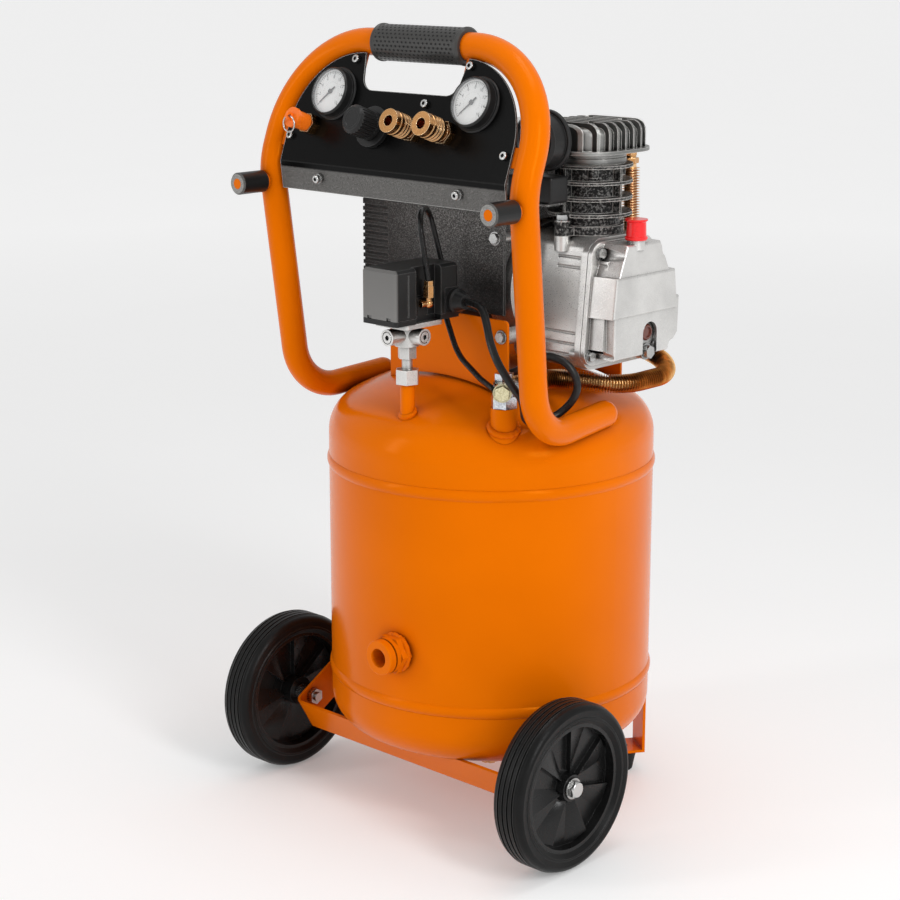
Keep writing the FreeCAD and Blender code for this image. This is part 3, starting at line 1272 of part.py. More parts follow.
def coupling_sleeve(x):
    """Sliding sleeve with three grip grooves."""
    top = PANEL_FRONT + COUPLING_LENGTH - COUPLING_NOSE_LENGTH - 0.3
    base = Vector(x, ROW_HEIGHT, top - SLEEVE_LENGTH)
    radius = SLEEVE_DIAMETER / 2
    bore = COUPLING_BARREL / 2 + RUNNING_GAP
    steps = [(radius - 1, 0), (radius, 1)]
    for middle in (SLEEVE_LENGTH * 0.3, SLEEVE_LENGTH * 0.5, SLEEVE_LENGTH * 0.7):
        steps += [(radius, middle - 1.4), (radius - 1.1, middle - 0.6)]
        steps += [(radius - 1.1, middle + 0.6), (radius, middle + 1.4)]
    steps += [(radius, SLEEVE_LENGTH - 1), (radius - 1, SLEEVE_LENGTH), (bore, SLEEVE_LENGTH)]
    return panel_place(lathe((bore, 0), steps, base))


def safety_valve_body():
    at = lambda z: Vector(SAFETY_X, SAFETY_HEIGHT, z)
    top = PANEL_FRONT + SAFETY_BODY_LENGTH
    stem = rod(SAFETY_STEM / 2, at(-BAR_DEPTH - 8), at(PANEL_FRONT))
    spigot = rod(4, at(top), at(top + SAFETY_CAP_LENGTH * 0.6))
    return panel_place(hexagon(SAFETY_BODY_FLATS, at(PANEL_FRONT), at(top)).fuse([stem, spigot]))


def safety_eye():
    top = PANEL_FRONT + SAFETY_BODY_LENGTH + MOVING_GAP + SAFETY_CAP_LENGTH
    return Vector(SAFETY_X, SAFETY_HEIGHT, top + RING_EYE)


def safety_valve_cap():
    """Pull cap with a collar at its end and a drilled eye for the ring."""
    base = PANEL_FRONT + SAFETY_BODY_LENGTH + MOVING_GAP
    centre = Vector(SAFETY_X, SAFETY_HEIGHT, base)
    radius = SAFETY_CAP_DIAMETER / 2
    collar = SAFETY_CAP_COLLAR / 2
    length = SAFETY_CAP_LENGTH
    steps = [(radius, 0), (radius, length - 4), (collar, length - 4), (collar, length), (0, length)]
    cap = lathe((0, 0), steps, centre)
    bore = rod(4 + RUNNING_GAP, centre, centre + Z_AXIS * (length * 0.6 + 0.5))
    eye = safety_eye()
    tab = block(eye.x - 1.2, eye.x + 1.2, eye.y - RING_EYE, eye.y + RING_EYE, eye.z - RING_EYE - 1, eye.z)
    nose = rod(RING_EYE, eye - X_AXIS * 1.2, eye + X_AXIS * 1.2)
    hole = rod(RING_EYE / 2, eye - X_AXIS * 2, eye + X_AXIS * 2)
    return panel_place(cap.cut(bore).fuse([tab, nose]).cut(hole))


def safety_valve_ring():
    eye = on_panel(SAFETY_X, SAFETY_HEIGHT, safety_eye().z)
    radius = RING_DIAMETER / 2 - RING_WIRE / 2
    return Part.makeTorus(radius, RING_WIRE / 2, eye - Z_AXIS * radius, Y_AXIS)


# ---------------------------------------------------------------- pressure switch
RISER_TOP = dome_z(PIPE_X, PIPE_Y) + PIPE_STANDOFF
NIPPLE_Z = RISER_TOP + UNION_HEIGHT
CASTING_Z = NIPPLE_Z + NIPPLE_HEIGHT + NIPPLE_HEX_HEIGHT
SWITCH_Z = CASTING_Z + CASTING_HEIGHT
SWITCH_X0 = PIPE_X + SWITCH_SIDE_SHIFT - SWITCH_WIDTH / 2
SWITCH_X1 = SWITCH_X0 + SWITCH_WIDTH
SWITCH_Y0 = PIPE_Y + SWITCH_SETBACK - SWITCH_DEPTH / 2
SWITCH_Y1 = SWITCH_Y0 + SWITCH_DEPTH
NOTCH_X = SWITCH_X1 - SWITCH_NOTCH_DEPTH
GLAND_Z = SWITCH_Z + GLAND_ABOVE_BASE


def riser_fittings():
    """Union nut, nipple and hexagon between the riser and the casting."""
    at = lambda z: Vector(PIPE_X, PIPE_Y, z)
    hex_z = NIPPLE_Z + NIPPLE_HEIGHT
    union = hexagon(UNION_FLATS, at(RISER_TOP), at(NIPPLE_Z), 10)
    nipple = rod(NIPPLE_DIAMETER / 2, at(NIPPLE_Z), at(hex_z))
    top = hexagon(NIPPLE_HEX_FLATS, at(hex_z), at(CASTING_Z), 25)
    return fuse_all(union, nipple, top)


def switch_casting():
    """Cross-shaped casting under the switch: flange, core and two plugged arms."""
    half_x = CASTING_WIDTH / 2
    half_y = CASTING_DEPTH / 2
    flange_z = SWITCH_Z - CASTING_FLANGE
    core = rod(CASTING_CORE / 2, Vector(PIPE_X, PIPE_Y, CASTING_Z), Vector(PIPE_X, PIPE_Y, SWITCH_Z))
    x0 = PIPE_X + SWITCH_SIDE_SHIFT - half_x
    flange = block(x0, x0 + CASTING_WIDTH, PIPE_Y - half_y, PIPE_Y + half_y, flange_z, SWITCH_Z)
    flange = rounded(flange, 6, lambda e: is_along(e, Z_AXIS))
    middle = Vector(PIPE_X, PIPE_Y, CASTING_Z + ARM_DIAMETER / 2 + 3)
    pieces = [flange]
    cuts = []
    for way, reach in ((FRONT, FRONT_ARM_REACH), (X_AXIS, SIDE_ARM_REACH)):
        end = middle + way * reach
        floor = end - way * PLUG_RECESS
        pieces.append(rod(ARM_DIAMETER / 2, middle, end))
        cuts.append(pipe(PLUG_DIAMETER / 2 + 1, PLUG_DIAMETER / 2, floor, end))
        cuts.append(hexagon(PLUG_SOCKET, end - way * 4, end))
    return fuse_all(core, *pieces).cut(cuts)


def switch_manifold():
    return group([riser_fittings(), switch_casting()])


def switch_block(x0, x1, y0, y1, z0, z1, corner):
    return rounded(block(x0, x1, y0, y1, z0, z1), corner, lambda e: is_along(e, Z_AXIS))


def notch_block():
    """Recess for the unloader valve in the switch's right side."""
    half = SWITCH_NOTCH_LENGTH / 2
    y = -UNLOADER_FORWARD
    return block(NOTCH_X, SWITCH_X1 + 5, y - half, y + half, SWITCH_Z - 1, SWITCH_Z + SWITCH_HEIGHT + 1)


def gland():
    """Round cable gland with a tapered end, standing out of the switch's right side."""
    nose = GLAND_TIP / 2
    bore = CABLE_DIAMETER / 2 + SEAT_GAP
    radius = GLAND_DIAMETER / 2
    steps = [(radius, 0), (radius, GLAND_NUT_LENGTH), (radius - 2, GLAND_NUT_LENGTH + 1)]
    steps += [(nose, GLAND_LENGTH), (bore, GLAND_LENGTH), (bore, GLAND_LENGTH - 8), (0, GLAND_LENGTH - 8)]
    return lathe((0, 0), steps, Vector(SWITCH_X1, GLAND_Y, GLAND_Z), X_AXIS)


def gland_wall(room):
    """Piece of the base's wall that carries the gland."""
    half = GLAND_DIAMETER / 2 + 1 + room
    top = GLAND_Z + half
    return block(SWITCH_X1 - 4, SWITCH_X1, GLAND_Y - half, SWITCH_Y1 + room, SWITCH_Z, top)


def pressure_switch_base():
    top = SWITCH_Z + SWITCH_BASE_HEIGHT
    plate = switch_block(SWITCH_X0, SWITCH_X1, SWITCH_Y0, SWITCH_Y1, SWITCH_Z, top, SWITCH_CORNER)
    inner_wall = block(NOTCH_X - 3, NOTCH_X, -UNLOADER_FORWARD - 6, -UNLOADER_FORWARD + 6, top, top + 20)
    base = plate.cut(notch_block()).fuse([inner_wall, gland_wall(0)])
    return group([base, gland()])


def pressure_switch_cover():
    low = SWITCH_Z + SWITCH_BASE_HEIGHT + MOVING_GAP
    top = SWITCH_Z + SWITCH_HEIGHT
    wall = SWITCH_WALL
    outer = switch_block(SWITCH_X0, SWITCH_X1, SWITCH_Y0, SWITCH_Y1, low, top, SWITCH_CORNER)
    top_edges = [e for e in outer.Edges if e.CenterOfMass.z > top - 0.01]
    outer = outer.makeChamfer(3, top_edges)
    notch = notch_block()
    notch_room = notch.copy()
    notch_room.translate(Vector(-wall, 0, 0))
    room = block(SWITCH_X0 + wall, SWITCH_X1 - wall, SWITCH_Y0 + wall, SWITCH_Y1 - wall, low - 1, top - 4)
    half = SWITCH_NOTCH_LENGTH / 2 + wall
    arch_y = -UNLOADER_FORWARD
    wall_zone = block(NOTCH_X - wall, SWITCH_X1, arch_y - half, arch_y + half, low - 1, top)
    cover = outer.cut(room.cut(wall_zone))
    arch = block(NOTCH_X - 4, NOTCH_X + 1, arch_y - 7, arch_y + 7, low - 1, low + 21)
    cuts = [notch, gland_wall(PAD_GAP), arch]
    for y in (SWITCH_Y0 + 16, SWITCH_Y0 + 28):
        cuts.append(block(SWITCH_X1 - 0.8, SWITCH_X1 + 1, y, y + 2, low + 3, top - 6))
    for x in (SWITCH_X0 + 8, SWITCH_X1 - 14):
        cuts.append(block(x, x + 6, SWITCH_Y0 - 1, SWITCH_Y0 + 1.5, low - 1, low + 3))
    window = rocker_block(ROCKER_GAP, 8)
    return cover.cut(cuts + [window])


def rocker_block(room, depth):
    """Block in the switch's left side that the rocker fills."""
    y = PIPE_Y + SWITCH_SETBACK
    z = SWITCH_Z + SWITCH_HEIGHT * 0.6
    half_y = ROCKER_LENGTH / 2 + room
    half_z = ROCKER_HEIGHT / 2 + room
    return block(SWITCH_X0 - ROCKER_PROUD, SWITCH_X0 + depth, y - half_y, y + half_y, z - half_z, z + half_z)


def power_rocker():
    y = PIPE_Y + SWITCH_SETBACK
    z = SWITCH_Z + SWITCH_HEIGHT * 0.6
    body = rocker_block(0, 0)
    pivot = Vector(SWITCH_X0, y, z)
    axle = rod(1.5, pivot + X_AXIS * 4 - Z_AXIS * 4, pivot + X_AXIS * 4 + Z_AXIS * 4)
    neck = block(SWITCH_X0, SWITCH_X0 + 5, y - 3, y + 3, z - 4, z + 4)
    half_y = ROCKER_LENGTH / 2
    z0 = z - ROCKER_HEIGHT / 2
    points = [(0, -half_y), (-ROCKER_PROUD, -half_y), (-1.6, 0), (-1.0, half_y), (0, half_y)]
    corners = [Vector(SWITCH_X0 + u, y + v, z0) for u, v in points]
    face = Part.Face(Part.makePolygon(corners + corners[:1]))
    return fuse_all(face.extrude(Z_AXIS * ROCKER_HEIGHT).common(body), neck, axle)


def unloader_valve():
    """Small brass elbow with a hexagon and a side stub, in the switch's recess."""
    centre = Vector(NOTCH_X + 8.5, -UNLOADER_FORWARD, SWITCH_Z + 19)
    top = Vector(centre.x, centre.y, SWITCH_Z + UNLOADER_HEIGHT)
    nut_low = top - Z_AXIS * (UNLOADER_NUT + 6)
    pieces = [rod(4.5, Vector(NOTCH_X, centre.y, centre.z), centre), rod(4, centre, nut_low)]
    pieces.append(hexagon(UNLOADER_FLATS + 1, nut_low, top - Z_AXIS * 5, 15))
    pieces.append(hexagon(UNLOADER_FLATS, top - Z_AXIS * 5, top, 15))
    pieces.append(rod(3, centre, centre + FRONT * 11))
    return fuse_all(Part.makeSphere(5, centre), *pieces)


def unloader_points():
    """Route of the unloader tube: up, over the switch, down behind it, to the check valve."""
    start = Vector(NOTCH_X + 8.5, -UNLOADER_FORWARD, SWITCH_Z + UNLOADER_HEIGHT)
    rise = start + Vector(-10, -4, 66)
    over = Vector(start.x - 42, SWITCH_Y1 - 1, rise.z + 2)
    behind = Vector(over.x + 8, SWITCH_Y1 + 12, SWITCH_Z + 48)
    down = Vector(over.x + 14, SWITCH_Y1 + 9, SWITCH_Z)
    along = Vector(PIPE_X + 29, SWITCH_Y1 - 3, CROWN_Z + 26)
    near = Vector(CHECK_X - 23, CHECK_Y - 10, CROWN_Z + 10)
    end = banjo_centre() + Vector(-0.8, -0.6, 0.25).normalize() * (BANJO_DIAMETER / 2 - 0.5)
    return [start, rise, over, behind, down, along, near, end]


def unloader_tube():
    points = unloader_points()
    return sweep(points, [24, 24, 50, 40, 60, 40], AIR_TUBE_DIAMETER / 2)


# ---------------------------------------------------------------- check valve
CHECK_Z = dome_z(CHECK_X, CHECK_Y) + SOCKET_STANDOFF
BANJO_Z = CHECK_Z + CHECK_HEX_HEIGHT + CHECK_BODY_HEIGHT / 2


BANJO_WAY = Rotation(Z_AXIS, BANJO_TURN).multVec(FRONT)


def banjo_centre():
    middle = CHECK_BODY_DIAMETER / 2 + BANJO_OFFSET
    return Vector(CHECK_X, CHECK_Y, BANJO_Z) + BANJO_WAY * middle


def check_valve():
    """Valve body on its hexagon, with a capped top, a side port and a banjo."""
    at = lambda z: Vector(CHECK_X, CHECK_Y, z)
    body_z = CHECK_Z + CHECK_HEX_HEIGHT
    cap_z = body_z + CHECK_BODY_HEIGHT
    side = Vector(CHECK_X, CHECK_Y, BANJO_Z)
    pieces = [rod(CHECK_BODY_DIAMETER / 2, at(body_z), at(cap_z))]
    pieces.append(hexagon(CHECK_CAP_FLATS, at(cap_z), at(cap_z + CHECK_CAP_HEIGHT)))
    pieces.append(rod(8, side, side + Y_AXIS * (CHECK_BODY_DIAMETER / 2 + 5)))
    bolt_end = banjo_centre() + BANJO_WAY * (BANJO_LENGTH / 2)
    pieces.append(rod(4.5, side, bolt_end))
    pieces.append(hexagon(14, bolt_end, bolt_end + BANJO_WAY * 4))
    valve = fuse_all(hexagon(CHECK_HEX_FLATS, at(CHECK_Z), at(body_z), 20), *pieces)
    ring_front = banjo_centre() + BANJO_WAY * (BANJO_LENGTH / 2)
    ring_back = ring_front - BANJO_WAY * BANJO_LENGTH
    ring = pipe(BANJO_DIAMETER / 2, 4.5 + SEAT_GAP, ring_front, ring_back)
    return group([valve, ring.cut(rod(CHECK_BODY_DIAMETER / 2, at(body_z), at(cap_z)))])


# ---------------------------------------------------------------- pump saddle
SLOT_Z = CROWN_Z + SADDLE_TOP - SLOT_DROP
MOTOR_FOOT_X = -62.0
CASE_FOOT_X = 80.0


def saddle_plate(tank):
    """Front plate of the saddle, with its bolt slots and a gap over the dome."""
    front = PUMP_Y - SADDLE_SPACING / 2 - SADDLE_SHEET / 2
    back = front + SADDLE_SHEET
    top = CROWN_Z + SADDLE_TOP
    low = TOP_SPRING_Z + TOP_CROWN * 0.4
    plate = block(-SADDLE_LEFT, SADDLE_RIGHT, front, back, low, top)
    plate = rounded(plate, 5, lambda e: is_along(e, Y_AXIS) and e.CenterOfMass.z > low + 1)
    relief = block(-RELIEF_LEFT, RELIEF_RIGHT, front - 1, back + 1, low, top)
    gap = relief.common(tank.translated(Vector(0, 0, SADDLE_RELIEF)))
    cuts = [gap, tank]
    for x in (MOTOR_FOOT_X, CASE_FOOT_X):
        slot = block(x - SLOT_WIDTH / 2, x + SLOT_WIDTH / 2, front - 1, back + 1, SLOT_Z - 6, SLOT_Z + 6)
        cuts.append(rounded(slot, SLOT_WIDTH / 2 - 0.1, lambda e: is_along(e, Y_AXIS)))
    return plate.cut(cuts)


def about_pump(shape):
    """Mirror a shape to the pump's other side."""
    return shape.mirror(Vector(0, PUMP_Y, 0), Y_AXIS)


def pump_saddle(tank):
    front = saddle_plate(tank)
    rear = about_pump(saddle_plate(about_pump(tank)))
    return group([front, rear])


# ---------------------------------------------------------------- crankcase
def trapezoid(x0, x1, low, high, low_width, high_width, corner):
    """Prism along X about the shaft's plane, wider at its foot."""
    points = [(-low_width / 2, low), (low_width / 2, low), (high_width / 2, high), (-high_width / 2, high)]
    corners = [Vector(x0, PUMP_Y + u, v) for u, v in points]
    prism = Part.Face(Part.makePolygon(corners + corners[:1])).extrude(X_AXIS * (x1 - x0))
    return rounded(prism, corner, lambda e: is_along(e, X_AXIS))


CASE_LOW = SHAFT_Z - CRANKCASE_DROP
FLANGE_LOW = CASE_LOW + 6
FLANGE_HIGH = DECK_Z - 3


def flange_prism(x0, x1, inset):
    low = CASE_BOTTOM_WIDTH + 2 * FLANGE_BORDER - 2 * inset
    high = CASE_TOP_WIDTH + 2 * FLANGE_BORDER - 2 * inset
    return trapezoid(x0, x1, FLANGE_LOW + inset, FLANGE_HIGH - inset, low, high, CASE_CORNER - inset / 2)


def cover_bolt_places():
    """(y, z) of the four cover bolts."""
    low_y = CASE_BOTTOM_WIDTH / 2 - 4
    high_y = CASE_TOP_WIDTH / 2 - 5
    places = [(PUMP_Y - low_y, FLANGE_LOW + 10), (PUMP_Y + low_y, FLANGE_LOW + 10)]
    return places + [(PUMP_Y - high_y, FLANGE_HIGH - 11), (PUMP_Y + high_y, FLANGE_HIGH - 11)]


def case_feet():
    """Bosses that reach the saddle plates."""
    reach = (SADDLE_SPACING - SADDLE_SHEET) / 2 - SEAT_GAP
    inner = CASE_TOP_WIDTH / 2 - 8
    feet = []
    for way in (-1, 1):
        start = Vector(CASE_FOOT_X, PUMP_Y + way * inner, SLOT_Z)
        end = Vector(CASE_FOOT_X, PUMP_Y + way * reach, SLOT_Z)
        feet.append(rod(LUG_DIAMETER / 2, start, end))
    return feet


def bolt_bores(x):
    """Blind bores for the saddle bolts."""
    reach = (SADDLE_SPACING - SADDLE_SHEET) / 2
    radius = PUMP_BOLT_DIAMETER / 2 + SEAT_GAP
    bores = []
    for way in (-1, 1):
        start = Vector(x, PUMP_Y + way * (reach - 16), SLOT_Z)
        bores.append(rod(radius, start, start + Y_AXIS * (way * 20)))
    return bores


def shaft_point(x):
    return Vector(x, PUMP_Y, SHAFT_Z)


def motor_cup(x_wall, x_open):
    """Round cup, closed at x_wall, that grips the end of the stator."""
    outer = STATOR_DIAMETER / 2 + MOTOR_CUP - 2
    way = 1 if x_open > x_wall else -1
    wall_end = x_wall + way * MOTOR_CUP
    body = rod(outer, shaft_point(x_wall), shaft_point(x_open))
    return body.cut(rod(STATOR_DIAMETER / 2 + SEAT_GAP, shaft_point(wall_end), shaft_point(x_open)))


def crankcase():
    x0 = CRANKCASE_START
    x1 = CRANKCASE_END
    wall = CRANKCASE_WALL
    body = trapezoid(x0, x1, CASE_LOW, DECK_Z, CASE_BOTTOM_WIDTH, CASE_TOP_WIDTH, CASE_CORNER)
    low = CASE_BOTTOM_WIDTH - 2 * wall
    high = CASE_TOP_WIDTH - 2 * wall
    room = trapezoid(x0 + wall, x1 + 1, CASE_LOW + wall, DECK_Z - wall, low, high, CASE_CORNER - wall)
    flange = flange_prism(x1 - FLANGE_THICKNESS, x1, 0)
    cup = motor_cup(x0 + MOTOR_CUP, STATOR_START + STATOR_LENGTH - CUP_OVERLAP)
    seat = rod(BEARING_OUTER / 2 + 5, shaft_point(x0), shaft_point(x0 + BEARING_WIDTH + 2))
    cuts = [rod(BEARING_OUTER / 2 + SEAT_GAP, shaft_point(x0), shaft_point(x0 + BEARING_WIDTH))]
    cuts.append(rod(SHAFT_DIAMETER / 2 + 3, shaft_point(x0 - 1), shaft_point(x1)))
    cuts.append(rod(BARREL_DIAMETER / 2 + SEAT_GAP, cylinder_point(DECK_Z - 20), cylinder_point(DECK_Z + 1)))
    cuts += upright_bores(base_bolt_places(), BASE_BOLT_DIAMETER, DECK_Z - 13, DECK_Z + 1)
    for y, z in cover_bolt_places():
        cuts.append(rod(COVER_BOLT_DIAMETER / 2 + SEAT_GAP, Vector(x1 - 14, y, z), Vector(x1 + 1, y, z)))
    cuts += bolt_bores(CASE_FOOT_X) + case_grooves()
    shell = body.fuse([flange] + bolt_bosses()).cut(room)
    pads = []
    for x, y in base_bolt_places():
        pads.append(rod(BASE_BOLT_EAR / 2, Vector(x, y, DECK_Z - BASE_BOLT_BOSS), Vector(x, y, DECK_Z)))
    return shell.fuse([cup, seat, cable_gland()] + case_feet() + pads + shroud_posts()).cut(cuts)


def upright_bores(places, diameter, low, high):
    """Upright holes for screws at the given places."""
    radius = diameter / 2 + SEAT_GAP
    return [rod(radius, Vector(x, y, low), Vector(x, y, high)) for x, y in places]


def gland_point(radius):
    """Point at a radius from the shaft on the axis of the motor's cable gland."""
    angle = math.radians(CASE_GLAND_ANGLE)
    return Vector(CASE_GLAND_X, PUMP_Y - radius * math.cos(angle), SHAFT_Z - radius * math.sin(angle))


def cable_gland():
    """Boss on the motor's cup that the cable enters."""
    root = STATOR_DIAMETER / 2 + MOTOR_CUP / 2
    return rod(CABLE_DIAMETER, gland_point(root), gland_point(CASE_GLAND_RADIUS))


def bolt_bosses():
    """Bosses behind the flange for the cover bolts."""
    bosses = []
    for y, z in cover_bolt_places():
        start = Vector(CRANKCASE_END - 16, y, z)
        bosses.append(rod(COVER_BOLT_DIAMETER, start, Vector(CRANKCASE_END, y, z)))
    return bosses


def case_grooves():
    """Shallow grooves along both sides of the crankcase."""
    grooves = []
    x0 = CRANKCASE_START + 22
    x1 = CRANKCASE_END - FLANGE_THICKNESS - 6
    for drop, share in ((20, 0.8), (30, 0.8), (96, 0.0), (107, 0.0), (118, 0.0)):
        z = DECK_Z - drop
        slope = (CASE_BOTTOM_WIDTH - CASE_TOP_WIDTH) / 2 / (DECK_Z - CASE_LOW)
        side = CASE_TOP_WIDTH / 2 + slope * drop
        start = x0 + share * (x1 - x0) * 0.6
        for way in (-1, 1):
            axis_y = PUMP_Y + way * (side + 0.6)
            grooves.append(rod(1.8, Vector(start, axis_y, z), Vector(x1, axis_y, z)))
    return grooves


def gasket():
    outer = flange_prism(CRANKCASE_END, COVER_START, 1)
    outer = outer.cut(flange_prism(CRANKCASE_END - 1, COVER_START + 1, FLANGE_BORDER + 4))
    for y, z in cover_bolt_places():
        start = Vector(CRANKCASE_END, y, z)
        ring = rod(COVER_BOLT_DIAMETER, start, Vector(COVER_START, y, z))
        hole = rod(COVER_BOLT_DIAMETER / 2 + SEAT_GAP, start - X_AXIS, Vector(COVER_START + 1, y, z))
        outer = outer.fuse(ring).cut(hole)
    return outer


COVER_LOW_Z = FLANGE_LOW + 9
COVER_LEDGE_Z = SHAFT_Z + 24
COVER_TOP_Z = FLANGE_HIGH - 2
COVER_STEP = 12.0        # depth of the body behind the stepped face


def cover_wire(x, low, high, z0, z1, inset):
    """Four-sided outline across the shaft: low and high are its Y limits at z0 and z1."""
    corners = [(low[0] + inset, z0 + inset), (low[1] - inset, z0 + inset)]
    corners += [(high[1] - inset, z1 - inset), (high[0] + inset, z1 - inset)]
    points = [Vector(x, PUMP_Y + y, z) for y, z in corners]
    return Part.makePolygon(points + points[:1])


def cover_block(x1, low, high, z0, z1, inset):
    """One drafted box of the cover from the flange outward, or its hollow when inset."""
    x0 = COVER_START - (1 if inset else 0)
    back_low = (low[0] - COVER_DRAFT, low[1] + COVER_DRAFT)
    back_high = (high[0] - COVER_DRAFT, high[1] + COVER_DRAFT)
    back = cover_wire(x0, back_low, back_high, z0, z1, inset)
    front = cover_wire(x1 - inset, low, high, z0, z1, inset)
    box = Part.makeLoft([back, front], True, True)
    if inset:
        return box
    edges = [e for e in box.Edges if abs(e.CenterOfMass.x - x1) < 0.01]
    return box.makeFillet(2.5, edges)


def cover_body(inset):
    """Tapered body of the cover under the stepped face."""
    x0 = COVER_START - (1 if inset else 0)
    x1 = COVER_END - COVER_STEP - inset
    low = 2 * (CASE_BOTTOM_WIDTH / 2 - 2 - inset)
    high = 2 * (CASE_TOP_WIDTH / 2 + 4 - inset)
    low_z = COVER_LOW_Z + inset
    high_z = COVER_LEDGE_Z - inset
    return trapezoid(x0, x1, low_z, high_z, low, high, 4)


def cover_boxes(inset):
    """Upper, middle and lower boxes of the stepped face."""
    rib_z = SHAFT_Z - 17
    upper = cover_block(COVER_END - 2, (-42, 48), (-26, 27), COVER_LEDGE_Z - 10, COVER_TOP_Z, inset)
    middle = cover_block(COVER_END, (-49, 55), (-44, 50), rib_z, COVER_LEDGE_Z, inset)
    lower = cover_block(COVER_END - 2.5, (-44, 59), (-44, 61), COVER_LOW_Z - 2, rib_z + 12, inset)
    return [upper, middle, lower]


def corner_prism(y_way, y, z, size):
    """Triangle of material taken off a lower corner of the cover."""
    x = COVER_START + COVER_FLANGE
    start = Vector(x, PUMP_Y + y, z)
    corner = start + Vector(0, y_way, -1)
    points = [corner, start + Vector(0, y_way, size), start + Vector(0, -y_way * size, -1), corner]
    return Part.Face(Part.makePolygon(points)).extrude(X_AXIS * 60)


def boss_ribs():
    """Ribbed bosses that run back from the upper cover bolts."""
    pieces = []
    for y, z in cover_bolt_places()[2:]:
        way = 1 if y > PUMP_Y else -1
        for drop in (9.5, 15.5):
            start = Vector(COVER_START, y - way * 2, z - drop)
            pieces.append(rod(3.5, start, start + X_AXIS * (COVER_FLANGE + COVER_STEP - 1)))
    return pieces


def sight_point(x):
    return Vector(x, PUMP_Y + SIGHT_SIDE, SHAFT_Z - SIGHT_DROP)


def oil_plug_point(z):
    return Vector(COVER_END - 8, PUMP_Y - 6, z)


OIL_SEAT_Z = COVER_TOP_Z + 3.5


def cover_openings():
    """Bores and pockets of the cover."""
    front = COVER_END
    cuts = []
    half = SIGHT_DIAMETER / 2 + 3
    centre = sight_point(front - 8)
    cuts.append(rod(half, centre, sight_point(front + 1)))
    cuts.append(block(centre.x, front + 1, centre.y - half, centre.y + half, SHAFT_Z - 80, centre.z))
    cuts.append(rod(SIGHT_DIAMETER / 2 + SEAT_GAP, sight_point(front - 20), sight_point(front + 1)))
    drain = Vector(0, 0, SIGHT_DROP - DRAIN_PLUG_DROP)
    cuts.append(rod(4 + SEAT_GAP, sight_point(front - 20) + drain, sight_point(front) + drain))
    for y, z in cover_bolt_places():
        bore = Vector(COVER_START - 1, y, z)
        cuts.append(rod(COVER_BOLT_DIAMETER / 2 + SEAT_GAP, bore, bore + X_AXIS * 60))
        pocket = Vector(COVER_START + COVER_FLANGE, y, z)
        cuts.append(rod(COVER_BOLT_FLATS / 2 + 3, pocket, pocket + X_AXIS * 60))
    return cuts


def crankcase_cover():
    """Stepped cover with its flange, oil neck, sight recess and bolt holes."""
    front = COVER_END
    flange = flange_prism(COVER_START, COVER_START + COVER_FLANGE, 0)
    neck = rod(OIL_NECK_DIAMETER / 2, oil_plug_point(COVER_TOP_Z - 6), oil_plug_point(OIL_SEAT_Z))
    body = flange.fuse([cover_body(0), neck] + cover_boxes(0) + boss_ribs())
    cuts = [cover_body(COVER_WALL)] + cover_boxes(COVER_WALL)
    stem_room = OIL_PLUG_STEM / 2 + RUNNING_GAP
    cuts.append(rod(stem_room, oil_plug_point(OIL_SEAT_Z - OIL_PLUG_REACH - 1), oil_plug_point(OIL_SEAT_Z + 1)))
    cuts += [corner_prism(1, 64, COVER_LOW_Z - 2, 24)]
    pad = rod(SIGHT_DIAMETER / 2 + 6, sight_point(front - 18), sight_point(front - 8))
    drain = Vector(0, 0, SIGHT_DROP - DRAIN_PLUG_DROP)
    drain_pad = rod(8, sight_point(front - 18) + drain, sight_point(front - 8) + drain)
    return body.cut(cuts).fuse([pad, drain_pad]).cut(cover_openings())


def sight_glass():
    """Clear round window pressed into the cover, with its bevelled ring."""
    radius = SIGHT_DIAMETER / 2
    steps = [(radius, 0), (radius, 11), (radius - 1.5, 12.5), (radius - 3, 12.5), (radius - 3, 11), (0, 11)]
    return lathe((0, 0), steps, sight_point(COVER_END - 18), X_AXIS)


def oil_plug():
    """Red breather plug: stem, skirt, waist and crown."""
    radius = OIL_PLUG_DIAMETER / 2
    stem = OIL_PLUG_STEM / 2
    height = OIL_PLUG_HEIGHT
    steps = [(stem, -OIL_PLUG_REACH), (stem, 0), (radius - 1, 0), (radius, 1.5), (radius, 3), (radius - 1.5, 4)]
    steps += [(radius - 2, height - 3), (radius - 0.3, height - 1.5), (radius - 0.3, height), (0, height)]
    return lathe((0, -OIL_PLUG_REACH), steps, oil_plug_point(OIL_SEAT_Z + 0.1))


def hex_bolt(seat, way, diameter, flats, height, length):
    """Bolt with its washer-faced head on a seat point, shank the other way."""
    head = hexagon(flats, seat, seat + way * height, 8)
    washer = rod(flats * 0.72, seat, seat + way * 1.2)
    return fuse_all(head, washer, rod(diameter / 2, seat, seat - way * length))


